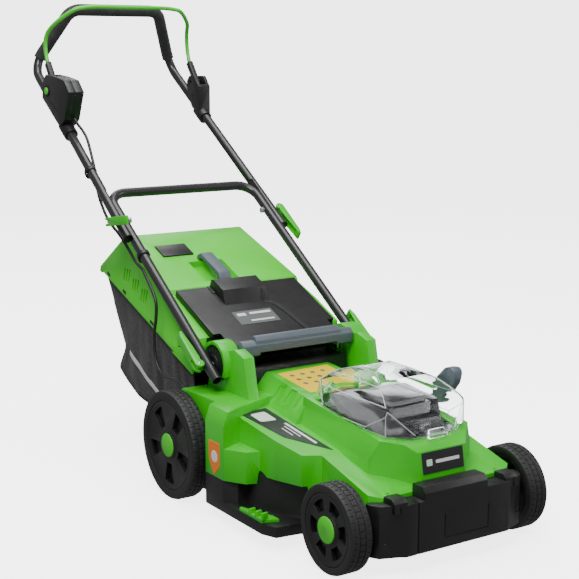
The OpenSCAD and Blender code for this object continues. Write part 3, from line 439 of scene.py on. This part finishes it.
def tyre_cuts(node, count):
    low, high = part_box(node)
    centre = (low + high) / 2
    radius = (high.z - low.z) / 2 / MM
    axle = ((centre.y - AXLE_Y) / MM, centre.z / MM)
    return tread_grooves(low.x / MM, high.x / MM, axle, radius, count)


def hood_pockets():
    """Three shallow pockets in each sloping side of the hood."""
    boxes = []
    for side in (-1, 1):
        for i in range(3):
            pivot = (side * 90, 250 + i * 36, 214)
            first = (pivot[0] - 15, pivot[1] - 9, pivot[2] - 3.9)
            second = (pivot[0] + 15, pivot[1] + 9, pivot[2] + 12)
            boxes.append((first, second, side * math.radians(49.6), "Y", pivot))
    return boxes


CUTS = {
    "front_bumper": [
        ((-87, -87, 28), (-83.5, -82.4, 126), 0, "X", None),
        ((-31, -87, 54), (-29, -82.8, 93), 0, "X", None),
        ((-31, -87, 51), (64, -82.8, 53), 0, "X", None),
        ((62, -87, 54), (64, -82.8, 93), 0, "X", None),
    ],
    "deck_shell": hood_pockets(),
}
for wheel, grooves in (("front_right", 44), ("front_left", 44), ("rear_right", 56), ("rear_left", 56)):
    CUTS[wheel + "_tyre"] = tyre_cuts(wheel + "_tyre", grooves)


def rounded_copy(node, width, segments=2, angle=34, finish=None):
    """A copy of a CAD node with its sharp edges rounded, which stands for the node."""
    mesh = frame["nodes"][node].data.copy()
    mesh.materials.clear()
    piece = new_object(node + "_moulded", mesh)
    weld_and_flatten(mesh)
    if node in CUTS:
        carve(piece, CUTS[node])
    if width > 0:
        edge = piece.modifiers.new("edges", "BEVEL")
        edge.width = width * MM
        edge.segments = segments
        edge.limit_method = "ANGLE"
        edge.angle_limit = math.radians(angle)
        edge.use_clamp_overlap = True
        edge.harden_normals = False
        apply_modifiers(piece)
    shade(piece)
    piece.data.materials.append(finish or FINISH[SLOT_OF[node]])
    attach(piece, BODY_OF[node])
    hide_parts(node)
    return piece


ROUNDING = {
    "deck_shell": 1.6, "lower_deck": 1.2, "front_bumper": 1.6, "edge_combs": 0.8, "carry_handle": 2.6,
    "battery_tray": 1.2, "motor": 0.8, "axle_bushes": 0.5, "height_lever": 1.0, "height_lever_knob": 0,
    "front_axle": 0.6, "rear_axle": 0.6, "height_link_rod": 0.5, "battery_pack": 1.6, "safety_key": 0.8,
    "rear_flap": 1.0, "bag_lid": 2.0, "bag_handle": 2.4, "bag_frame": 0.8, "bag_level_flap": 0.8,
    "pivot_discs": 0.6, "pivot_bolts": 0.4, "clamp_bolts": 0.4, "tube_end_caps": 0.5,
    "lower_cam_right": 1.2, "lower_cam_left": 1.2, "upper_cam_right": 1.2, "upper_cam_left": 1.2,
    "cable_clip_upper": 0.4, "cable_clip_lower": 0.4, "switch_box_shell": 1.6, "switch_box_cover": 1.6,
    "start_button": 0.6, "bail_bracket": 1.6, "bail_lever": 0.6, "blade": 0.5, "blade_adapter": 0.5,
    "motor_shaft": 0.5, "blade_bolt": 0.4, "lower_handle_tube": 0, "upper_handle_tube": 0,
    "foam_grip": 0, "battery_cover": 0.8, "cover_latch": 0.5,
}
for wheel in ("front_right", "front_left", "rear_right", "rear_left"):
    ROUNDING[wheel + "_rim"] = 0.7
    ROUNDING[wheel + "_cap"] = 0.5
    ROUNDING[wheel + "_tyre"] = 0.6

BAY_DARK = plastic("bay_dark", (0.0022, 0.0022, 0.0026), 0.20, 420, 0.08, 0.08, 0.3)
OWN_FINISH = {"battery_tray": BAY_DARK, "battery_pack": BAY_DARK, "safety_key": BAY_DARK}
MOULDED = {
    node: rounded_copy(node, width, finish=OWN_FINISH.get(node)) for node, width in ROUNDING.items()
}
frame["nodes"]["flap_hinge_rod"].data.materials.clear()
frame["nodes"]["flap_hinge_rod"].data.materials.append(FINISH["steel"])

# ---------- control cable ----------

CABLE_ROUTE = [
    (-174, 1008, 687), (-172, 1000, 676), (-169, 980, 662), (-168, 960, 644), (-168, 942, 614),
    (-168, 928, 586), (-168.5, 918, 566), (-171, 909, 552), (-176, 896, 538), (-180, 874, 518),
    (-180, 850, 492), (-180, 822, 474), (-180, 785, 457), (-180, 743, 431), (-182, 712, 413),
    (-186, 672, 402), (-191, 634, 378), (-194, 604, 350), (-195, 602, 316), (-195, 611, 283),
    (-195, 610, 246), (-195, 596, 218), (-195, 568, 206), (-195, 530, 208), (-194, 500, 202),
    (-193, 482.2, 192),
]
CABLE_RADIUS = 3.2
CABLE_SPLIT = 15


def smooth_route(points, steps=6):
    """Catmull-Rom curve through the points."""
    points = [Vector(p) for p in points]
    out = []
    last = len(points) - 1
    for i in range(last):
        a, b = points[max(i - 1, 0)], points[i]
        c, d = points[i + 1], points[min(i + 2, last)]
        for k in range(steps):
            t = k / steps
            out.append(
                0.5 * (
                    2 * b + (c - a) * t + (2 * a - 5 * b + 4 * c - d) * t * t
                    + (3 * b - a - 3 * c + d) * t ** 3
                )
            )
    out.append(points[last])
    return out


def tube_mesh(name, path, radius, sides=16):
    """Closed round tube along a path of points in metres; radius is a number or a function of 0..1."""
    work = bmesh.new()
    rings = []
    side = Vector((1, 0, 0))
    for i, point in enumerate(path):
        ahead = path[min(i + 1, len(path) - 1)] - path[max(i - 1, 0)]
        ahead.normalize()
        side = (side - ahead * side.dot(ahead)).normalized()
        up = ahead.cross(side)
        r = radius(i / (len(path) - 1)) if callable(radius) else radius
        rings.append([
            work.verts.new(point + side * (r * math.cos(a)) + up * (r * math.sin(a)))
            for a in (2 * math.pi * k / sides for k in range(sides))
        ])
    for first, second in zip(rings, rings[1:]):
        for k in range(sides):
            work.faces.new((first[k], second[k], second[(k + 1) % sides], first[(k + 1) % sides]))
    work.faces.new(rings[0])
    work.faces.new(list(reversed(rings[-1])))
    bmesh.ops.recalc_face_normals(work, faces=work.faces)
    mesh = bpy.data.meshes.new(name)
    work.to_mesh(mesh)
    work.free()
    return mesh


def add_cable():
    upper = smooth_route(CABLE_ROUTE[:CABLE_SPLIT + 1])
    lower = smooth_route(CABLE_ROUTE[CABLE_SPLIT:])
    pieces = []
    for name, route in (("cable_upper", upper), ("cable_lower", lower)):
        mesh = tube_mesh(name, [at(*p) for p in route], CABLE_RADIUS * MM)
        piece = new_object(name, mesh)
        shade(piece, 60)
        mesh.materials.append(FINISH["cable_sheath"])
        pieces.append(piece)
    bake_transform(pieces[0])
    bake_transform(pieces[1])
    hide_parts("control_cable")


add_cable()

# ---------- bail bar ----------

BAIL_LEG = [
    (180, 1100, 760), (180, 1117, 783), (180, 1135, 809), (180, 1144, 845),
    (176, 1137, 872), (163, 1111, 896),
    (134, 1087, 920), (110, 1081, 926), (80, 1080, 928), (30, 1080, 928),
]


def add_bail():
    """The bent bar of the bail, with wide soft bends."""
    far = [at(*p) for p in BAIL_LEG]
    near = [at(-x, y, z) for x, y, z in reversed(BAIL_LEG)]
    mesh = tube_mesh("bail_bar_bent", smooth_route(far + near), 4.6 * MM, 18)
    piece = new_object("bail_bar_bent", mesh)
    shade(piece, 60)
    mesh.materials.append(FINISH["bail_paint"])
    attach(piece, "bail")
    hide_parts("bail_bar")


add_bail()

# ---------- bag fabric ----------

SACK_OUTLINE = [
    (492, 101), (560, 99), (640, 98), (700, 99), (750, 102), (800, 111), (850, 131), (882, 149),
    (887, 157), (874, 176), (855, 203), (862, 222), (884, 262), (908, 308), (926, 346),
]
SACK_RIM = ((492, 226), (928, 360))
SACK_BOTTOM_HALF = 141
SACK_TOP_HALF = 172.6
SACK_TAPER = 31 / 178
SACK_FLAT = 0.5
SACK_COLUMNS = 72
SAG_LIMIT = 4
CLOTH_FRAMES = 18
CLOTH_SHRINK = -0.005
CLOTH_STIFFNESS = 20
CLOTH_THICKNESS = 1.4


def outline_points(points, steps=5):
    return [(p.x, p.y) for p in smooth_route([Vector((y, z, 0)) for y, z in points], steps)]


def sack_point(base, t, u):
    """Point of the sack: t from mouth to rear, u from the right rim, under the bottom, to the left rim."""
    rim_y = SACK_RIM[0][0] + (SACK_RIM[1][0] - SACK_RIM[0][0]) * t
    rim_z = SACK_RIM[0][1] + (SACK_RIM[1][1] - SACK_RIM[0][1]) * t
    across = abs(2 * u - 1)
    side = -1 if u < 0.5 else 1
    if across < SACK_FLAT:
        return side * SACK_BOTTOM_HALF * across / SACK_FLAT, base[0], base[1]
    k = (across - SACK_FLAT) / (1 - SACK_FLAT)
    top_half = SACK_TOP_HALF - max(0, rim_z - 222) * SACK_TAPER
    x = SACK_BOTTOM_HALF + (top_half - SACK_BOTTOM_HALF) * min(1, k * 1.25)
    return side * x, base[0] + (rim_y - base[0]) * k, base[1] + (rim_z - base[1]) * k


def sack_mesh():
    path = outline_points(SACK_OUTLINE)
    rows = len(path)
    work = bmesh.new()
    grid = [
        [
            work.verts.new(at(*sack_point(path[i], i / (rows - 1), j / SACK_COLUMNS)))
            for j in range(SACK_COLUMNS + 1)
        ]
        for i in range(rows)
    ]
    for i in range(rows - 1):
        for j in range(SACK_COLUMNS):
            work.faces.new((grid[i][j], grid[i][j + 1], grid[i + 1][j + 1], grid[i + 1][j]))
    bmesh.ops.recalc_face_normals(work, faces=work.faces)
    mesh = bpy.data.meshes.new("bag_sack")
    work.to_mesh(mesh)
    work.free()
    return mesh, rows


def sag(sack, rows):
    """Lets the cloth hang from its rim, mouth and seams, and keeps each move small."""
    pins = sack.vertex_groups.new(name="pins")
    for i in range(rows):
        for j in range(SACK_COLUMNS + 1):
            edge = i == 0 or i == rows - 1 or j in (0, 1, SACK_COLUMNS - 1, SACK_COLUMNS)
            seam = abs(abs(2 * j / SACK_COLUMNS - 1) - SACK_FLAT) < 1.2 / SACK_COLUMNS
            if edge or seam:
                pins.add([i * (SACK_COLUMNS + 1) + j], 1.0 if edge else 0.8, "REPLACE")
    cloth = sack.modifiers.new("cloth", "CLOTH")
    cloth.settings.quality = 6
    cloth.settings.mass = 0.4
    cloth.settings.tension_stiffness = CLOTH_STIFFNESS
    cloth.settings.compression_stiffness = CLOTH_STIFFNESS
    cloth.settings.shear_stiffness = 8
    cloth.settings.bending_stiffness = 1.5
    cloth.settings.shrink_min = CLOTH_SHRINK
    cloth.settings.vertex_group_mass = "pins"
    for step in range(1, CLOTH_FRAMES + 1):
        bpy.context.scene.frame_set(step)
    rest = [vertex.co.copy() for vertex in sack.data.vertices]
    apply_modifiers(sack)
    for vertex, start in zip(sack.data.vertices, rest):
        move = vertex.co - start
        if move.length > SAG_LIMIT * MM:
            vertex.co = start + move.normalized() * SAG_LIMIT * MM
    bpy.context.scene.frame_set(1)


def crumple(sack, rows):
    """Pulls the side panels in between their seams, with soft diagonal folds."""
    for i in range(rows):
        for j in range(SACK_COLUMNS + 1):
            vertex = sack.data.vertices[i * (SACK_COLUMNS + 1) + j]
            across = abs(2 * j / SACK_COLUMNS - 1)
            k = max(0.0, (across - SACK_FLAT) / (1 - SACK_FLAT))
            t = i / (rows - 1)
            hollow = math.sin(math.pi * k) * math.sin(math.pi * min(1, t * 1.05)) ** 0.5
            p = vertex.co
            broad = noise.noise(Vector((p.x * 4, (p.y + p.z) * 9, p.z * 7)))
            folds = noise.noise(Vector((p.x * 10, (p.y - 0.7 * p.z) * 26, p.z * 9)))
            fine = noise.noise(p * 46)
            inward = hollow * (3.0 + 2.6 * broad + 1.6 * folds + 0.5 * fine)
            vertex.co.x -= math.copysign(inward * MM, p.x)
            if k == 0:
                vertex.co.z += (1.2 * folds + 0.8 * fine) * MM + 1.5 * MM


SEAMS = []


def add_bag():
    """The soft sack of the grass bag, hung from the lid's rim and the mouth frame."""
    mesh, rows = sack_mesh()
    sack = new_object("bag_sack", mesh)
    sag(sack, rows)
    crumple(sack, rows)
    thick = sack.modifiers.new("thickness", "SOLIDIFY")
    thick.thickness = CLOTH_THICKNESS * MM
    thick.offset = -1
    smooth = sack.modifiers.new("smooth", "SUBSURF")
    smooth.levels = smooth.render_levels = 1
    apply_modifiers(sack)
    edge = round(SACK_COLUMNS * (1 - SACK_FLAT) / 2)
    row = SACK_COLUMNS + 1
    for column in (edge, SACK_COLUMNS - edge):
        SEAMS.append([sack.data.vertices[i * row + column].co.copy() for i in range(rows - 6)])
    shade(sack, 60)
    sack.data.materials.clear()
    sack.data.materials.append(FINISH["bag_fabric"])
    sack.data.materials.append(MESH_CLOTH)
    for face in sack.data.polygons:
        y, z = (face.center.y - AXLE_Y) / MM, face.center.z / MM
        depth = 878 + (z - 205) * 0.40 - y
        if 212 < z < 336 and depth < 6 + (336 - z) * 0.24:
            face.material_index = 1
    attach(sack, "bag")
    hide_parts("bag_fabric")
    return sack


def surface_hit(piece, origin, direction):
    """First point of a piece along a ray, all in metres, or None."""
    found, point, normal, _ = piece.ray_cast(origin, direction)
    return (point, normal) if found else None


def laid_strip(name, piece, route, width, lift, finish, body, axis):
    """A narrow strip on a piece's surface: each point of the route is dropped onto it along axis."""
    work = bmesh.new()
    direction = Vector(axis).normalized()
    rows = []
    path = [Vector(p) for p in route]
    for i, point in enumerate(path):
        ahead = (path[min(i + 1, len(path) - 1)] - path[max(i - 1, 0)]).normalized()
        across = ahead.cross(direction).normalized()
        row = []
        for k in (-1, -0.94, 0, 0.94, 1):
            start = point + across * (k * width / 2) - direction * 0.08
            hit = surface_hit(piece, start, direction)
            place = hit[0] if hit else point
            row.append(work.verts.new(place - direction * (lift if abs(k) < 1 else 0)))
        rows.append(row)
    for first, second in zip(rows, rows[1:]):
        for k in range(4):
            work.faces.new((first[k], first[k + 1], second[k + 1], second[k]))
    bmesh.ops.recalc_face_normals(work, faces=work.faces)
    mesh = bpy.data.meshes.new(name)
    work.to_mesh(mesh)
    work.free()
    strip = new_object(name, mesh)
    shade(strip, 50)
    mesh.materials.append(finish)
    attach(strip, body)
    return strip


def line_between(a, b, steps):
    return [Vector(a).lerp(Vector(b), i / steps) for i in range(steps + 1)]


MESH_CLOTH = weave_material("bag_mesh", (0.015, 0.015, 0.016), (0.115, 0.115, 0.120), 150, 0.9, 0.75)
PIPING = weave_material("bag_piping", (0.006, 0.006, 0.007), (0.03, 0.03, 0.032), 420, 0.5)
WHITE_PRINT = plastic("white_print", (0.72, 0.72, 0.72), 0.6, 900, 0.1, 0.03)

SACK = add_bag()


PIPING_RADIUS = 1.9
BAND_WIDTH = 11


def add_bag_trim():
    """Piping along the lower seams, and a plain white band on each side."""
    for side, seam in zip((-1, 1), SEAMS):
        route = [point + Vector((side * 0.4 * MM, 0, -0.6 * MM)) for point in seam]
        mesh = tube_mesh("bag_piping", route, PIPING_RADIUS * MM, 8)
        piece = new_object("bag_piping", mesh)
        shade(piece, 60)
        mesh.materials.append(PIPING)
        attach(piece, "bag")
        band = [at(side * 230, y, z) for y, z in ((824, 198), (790, 184), (740, 164), (690, 144), (650, 128))]
        route = []
        for first, second in zip(band, band[1:]):
            route += line_between(first, second, 6)[:-1]
        laid_strip(
            "bag_band", SACK, route, BAND_WIDTH * MM, 0.5 * MM, WHITE_PRINT, "bag", (-side, 0, 0)
        )


add_bag_trim()

# ---------- labels, buttons and small details ----------

BLACK_LABEL = plastic("black_label", (0.016, 0.016, 0.018), 0.38, 900, 0.08, 0.06)
YELLOW_LABEL = plastic("yellow_label", (0.82, 0.56, 0.0), 0.42, 900, 0.06, 0.04)
ORANGE_LABEL = plastic("orange_label", (0.90, 0.20, 0.010), 0.42, 900, 0.06, 0.04)
GREY_LABEL = plastic("grey_label", (0.10, 0.11, 0.11), 0.40, 900, 0.06, 0.05)
PALE_PRINT = plastic("pale_print", (0.62, 0.80, 0.62), 0.45, 900, 0.06, 0.04)


def rounded_outline(corners, radius, steps=4):
    """Corners of a flat polygon, each replaced by a short arc."""
    corners = [Vector(c) for c in corners]
    out = []
    n = len(corners)
    for i in range(n):
        a, b, c = corners[i - 1], corners[i], corners[(i + 1) % n]
        u, v = (a - b), (c - b)
        r = min(radius, u.length * 0.45, v.length * 0.45)
        start, end = b + u.normalized() * r, b + v.normalized() * r
        for k in range(steps + 1):
            t = k / steps
            out.append(start * (1 - t) ** 2 + b * (2 * t * (1 - t)) + end * t * t)
    return out


def plate(name, corners, normal, thick, radius, finish, body):
    """A thin label with rounded corners and a bevelled rim; it stands on the surface its corners lie in."""
    normal = Vector(normal).normalized()
    outline = rounded_outline(corners, radius)
    centre = sum(outline, Vector()) / len(outline)
    work = bmesh.new()
    below = [work.verts.new(p - normal * 0.0012) for p in outline]
    above = [work.verts.new(p + normal * thick * 0.6) for p in outline]
    top = [work.verts.new(p + (centre - p).normalized() * thick * 0.6 + normal * thick) for p in outline]
    n = len(outline)
    for first, second in ((below, above), (above, top)):
        for k in range(n):
            work.faces.new((first[k], first[(k + 1) % n], second[(k + 1) % n], second[k]))
    work.faces.new(top)
    work.faces.new(list(reversed(below)))
    bmesh.ops.recalc_face_normals(work, faces=work.faces)
    mesh = bpy.data.meshes.new(name)
    work.to_mesh(mesh)
    work.free()
    piece = new_object(name, mesh)
    shade(piece, 30)
    mesh.materials.append(finish)
    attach(piece, body)
    return piece


def on_quad(quad, u, v):
    """Point of a quad given by four corners, u across and v down."""
    a, b, c, d = [Vector(p) for p in quad]
    return a.lerp(b, u).lerp(d.lerp(c, u), v)


def sub_plate(name, quad, low_uv, high_uv, normal, thick, radius, finish, body):
    (u0, v0), (u1, v1) = low_uv, high_uv
    corners = [on_quad(quad, u0, v0), on_quad(quad, u1, v0), on_quad(quad, u1, v1), on_quad(quad, u0, v1)]
    return plate(name, corners, normal, thick, radius, finish, body)


def round_disc(name, centre, normal, radius, thick, finish, body):
    normal = Vector(normal).normalized()
    side = normal.orthogonal().normalized()
    up = normal.cross(side)
    ring = [
        Vector(centre) + side * (radius * math.cos(a)) + up * (radius * math.sin(a))
        for a in (2 * math.pi * k / 24 for k in range(24))
    ]
    return plate(name, ring, normal, thick, 0.0001, finish, body)


def add_labels():
    green, slot = "chassis", "dark_plastic"
    nose = [at(-43.7, -36.6, 184), at(43.7, -36.6, 184), at(43.7, -42.2, 149), at(-43.7, -42.2, 149)]
    nose_out = (0, -1, 0.16)
    plate("nose_label", nose, nose_out, 0.0009, 0.0015, BLACK_LABEL, green)
    sub_plate("nose_bar", nose, (0.32, 0.42), (0.90, 0.58), nose_out, 0.0013, 0.001, WHITE_PRINT, green)
    sub_plate("nose_dot", nose, (0.10, 0.34), (0.24, 0.66), nose_out, 0.0013, 0.002, PALE_PRINT, green)
    for side in (-1, 1):
        pod = [at(side * x, y, z) for x, y, z in (
            (180, 312, 189.3), (122, 317, 189.9), (120, 104, 165.8), (166, 186, 175.2)
        )]
        lean = (0, -0.113, 1)
        plate("pod_label", pod, lean, 0.0009, 0.002, BLACK_LABEL, green)
        pane = [at(side * x, y, z) for x, y, z in (
            (166, 300, 187.8), (134, 302, 188.1), (134, 258, 183.1), (166, 262, 183.5)
        )]
        plate("pod_pane", pane, lean, 0.0013, 0.005, PALE_PRINT, green)
        for i, (y0, y1) in enumerate(((240, 140), (228, 176), (222, 186))):
            x = 130 + i * 9
            width = 2.6 if i == 0 else 1.1
            bar = [at(side * (x + dx), y, 165.1 + (y - 98) * 0.1131) for dx, y in (
                (-width, y0), (width, y0), (width, y1), (-width, y1)
            )]
            plate("pod_bar", bar, lean, 0.0013, 0.0008, WHITE_PRINT, green)
    hood = [at(-60, 372, 234), at(58, 380, 234.6), at(58, 252, 221.6), at(-60, 262, 222.6)]
    hood_out = (0, -0.1, 1)
    plate("hood_label", hood, hood_out, 0.0009, 0.002, YELLOW_LABEL, green)
    for row in range(3):
        for column in range(4):
            centre = on_quad(hood, 0.16 + column * 0.2, 0.2 + row * 0.2)
            round_disc("hood_dot", centre, hood_out, 0.0055, 0.0012, GREY_LABEL, green)
    for side in (-1, 1):
        badge = [at(side * 235, y, z) for y, z in ((290, 148), (327, 148), (327, 112), (309, 86), (290, 106))]
        plate("side_label", badge, (side, 0, 0), 0.0009, 0.003, ORANGE_LABEL, green)
        round_disc(
            "side_dot", at(side * 235, 307, 121), (side, 0, 0), 0.011, 0.0013, WHITE_PRINT, green
        )


def turned_ring(name, centre, axis_x, inner, outer, thick, finish, body, sides=48):
    """Flat ring around the X direction, from its near face at the centre by thick along axis_x."""
    work = bmesh.new()
    rings = []
    for radius, depth in ((inner, 0), (outer, 0), (outer, thick), (inner, thick)):
        ring = []
        for k in range(sides):
            a = 2 * math.pi * k / sides
            offset = Vector((axis_x * depth, radius * math.cos(a), radius * math.sin(a)))
            ring.append(work.verts.new(centre + offset))
        rings.append(ring)
    for i in range(4):
        first, second = rings[i], rings[(i + 1) % 4]
        for k in range(sides):
            work.faces.new((first[k], second[k], second[(k + 1) % sides], first[(k + 1) % sides]))
    bmesh.ops.recalc_face_normals(work, faces=work.faces)
    mesh = bpy.data.meshes.new(name)
    work.to_mesh(mesh)
    work.free()
    piece = new_object(name, mesh)
    shade(piece, 40)
    mesh.materials.append(finish)
    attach(piece, body)
    return piece


def add_wheel_webs():
    """Closed inner web behind the windows of each rim."""
    for wheel, outer in (("front_right", 52), ("front_left", 52), ("rear_right", 76), ("rear_left", 76)):
        low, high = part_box(wheel + "_tyre")
        side = 1 if low.x > 0 else -1
        face = (high.x if side > 0 else low.x) - side * 12.6 * MM
        centre = Vector((face, (low.y + high.y) / 2, (low.z + high.z) / 2))
        turned_ring(
            "rim_web", centre, -side, 19.5 * MM, outer * MM, 1.2 * MM,
            WEB_DARK, BODY_OF[wheel + "_rim"],
        )


def add_button_bezel():
    low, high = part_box("start_button")
    centre = (low + high) / 2
    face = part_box("switch_box_cover")[0].x
    centre.x = face
    turned_ring(
        "button_bezel", centre, -1, 0.0100, 0.0126, 0.0012, WEB_DARK, "upper_handle", 32
    )


LIP_RADIUS = 7.2


def add_bumper_lip():
    """Rounded roll along the lower edge of the bumper's middle pad."""
    path = [at(x, -80.5, 103) for x in range(-31, 63, 6)]
    mesh = tube_mesh("bumper_lip", path, LIP_RADIUS * MM, 20)
    piece = new_object("bumper_lip", mesh)
    edge = piece.modifiers.new("edges", "BEVEL")
    edge.width = 3 * MM
    edge.segments = 3
    edge.limit_method = "ANGLE"
    edge.angle_limit = math.radians(60)
    apply_modifiers(piece)
    shade(piece, 60)
    piece.data.materials.clear()
    piece.data.materials.append(FINISH["dark_plastic"])
    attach(piece, "chassis")


def add_knob_dots():
    """Rows of small round dots on both faces of the height lever's knob."""
    low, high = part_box("height_lever_knob")
    centre = (low + high) / 2
    knob = MOULDED["height_lever_knob"]
    work = bmesh.new()
    for side in (-1, 1):
        for i in range(-6, 7):
            for j in range(-6, 7):
                shift = 2.2 * MM if j % 2 else 0
                place = centre + Vector((side * 0.05, i * 4.4 * MM + shift, j * 3.9 * MM))
                if math.hypot(place.y - centre.y, place.z - centre.z) > 17 * MM:
                    continue
                hit = surface_hit(knob, place, Vector((-side, 0, 0)))
                if hit is None or abs(hit[1].x) < 0.97:
                    continue
                matrix = Matrix.Translation(hit[0]) @ Matrix.Diagonal((0.5, 1, 1, 1))
                bmesh.ops.create_icosphere(work, subdivisions=1, radius=0.0013, matrix=matrix)
    mesh = bpy.data.meshes.new("knob_dots")
    work.to_mesh(mesh)
    work.free()
    piece = new_object("knob_dots", mesh)
    shade(piece, 60)
    mesh.materials.append(FINISH["dark_plastic"])
    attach(piece, BODY_OF["height_lever_knob"])


def add_cover_painted_highlights():
    """Pale tubes along the outward facet edges of the clear cover: painted highlights standing in for the
    reflections on its edges.
    """
    source = frame["nodes"]["battery_cover"].data.copy()
    weld_and_flatten(source)
    middle = at(0, 100, 200)
    work = bmesh.new()
    work.from_mesh(source)
    routes = []
    for edge in work.edges:
        if len(edge.link_faces) != 2 or edge.calc_face_angle(0) < math.radians(9):
            continue
        a, b = edge.verts[0].co, edge.verts[1].co
        out = ((a + b) / 2 - middle).normalized()
        outward = all(face.normal.dot(out) > 0.12 for face in edge.link_faces)
        if outward and (a - b).length > 6 * MM and min(a.z, b.z) > 0.206:
            routes.append((a.copy(), b.copy()))
    work.free()
    bpy.data.meshes.remove(source)
    joined = bmesh.new()
    for a, b in routes:
        tube = tube_mesh("painted_highlight_line", [a, a.lerp(b, 0.5), b], 0.55 * MM, 6)
        joined.from_mesh(tube)
        bpy.data.meshes.remove(tube)
    mesh = bpy.data.meshes.new("cover_painted_highlights")
    joined.to_mesh(mesh)
    joined.free()
    piece = new_object("cover_painted_highlights", mesh)
    shade(piece, 60)
    mesh.materials.append(PAINTED_EDGE_HIGHLIGHT)
    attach(piece, BODY_OF["battery_cover"])


def add_flap_details():
    """Raised ridge of the rear flap, and its plain data plate."""
    flap = MOULDED["rear_flap"]
    corners = [at(-66, 531, 325), at(24, 531, 325), at(24, 490, 307.4), at(-66, 490, 307.4)]
    placed = []
    for corner in corners:
        hit = surface_hit(flap, corner + Vector((0, 0, 0.08)), Vector((0, 0, -1)))
        placed.append(hit[0] if hit else corner)
    normal = (placed[1] - placed[0]).cross(placed[0] - placed[3]).normalized()
    plate("data_plate", placed, normal, 0.0008, 0.002, GREY_LABEL, "rear_flap")
    for low_uv, high_uv in (
        ((0.08, 0.16), (0.30, 0.36)), ((0.40, 0.16), (0.94, 0.30)), ((0.30, 0.72), (0.90, 0.82))
    ):
        sub_plate(
            "data_bar", placed, low_uv, high_uv, normal, 0.0011, 0.001, WHITE_PRINT, "rear_flap"
        )
    ridge = [(22, 561), (34, 552), (46, 536), (54, 505), (60, 470), (66, 440)]
    route = [at(x, y, 380) for x, y in ridge]
    laid_strip(
        "flap_ridge", flap, smooth_route(route, 4), 11 * MM, 1.5 * MM, FINISH["dark_plastic"],
        "rear_flap", (0, 0, -1)
    )


def add_lid_details():
    """Flat black plates along the lower edges of the lid in place of its clip slots: painted shade of the
    recesses.
    """
    for side in (-1, 1):
        for y in (896, 812, 675):
            corners = []
            for dy, dz in ((-8, 4.5), (8, 4.5), (8, 10.5), (-8, 10.5)):
                z = 228 + (y + dy - 492) * 0.305 + dz
                corners.append(at(side * (179.3 - (z - 222) * 0.174), y + dy, z))
            # Black plate laid where a slot's recess would be in shade: painted shade
            plate("lid_slot_painted_shade", corners, (side, 0, 0.174), 0.0006, 0.001, BLACK_LABEL, "bag")


WEB_DARK = plastic("web_dark", (0.005, 0.005, 0.0055), 0.5, 420, 0.25, 0.08)
# Pale opaque colour of the clear cover's edge tubes: a painted highlight, not a part of the cover
PAINTED_EDGE_HIGHLIGHT = plastic("cover_painted_highlight", (0.75, 0.80, 0.82), 0.15, 900, 0.04, 0.04)

add_labels()
add_wheel_webs()
add_button_bezel()
add_bumper_lip()
add_knob_dots()
add_cover_painted_highlights()
add_flap_details()
add_lid_details()

add_camera()
add_studio()
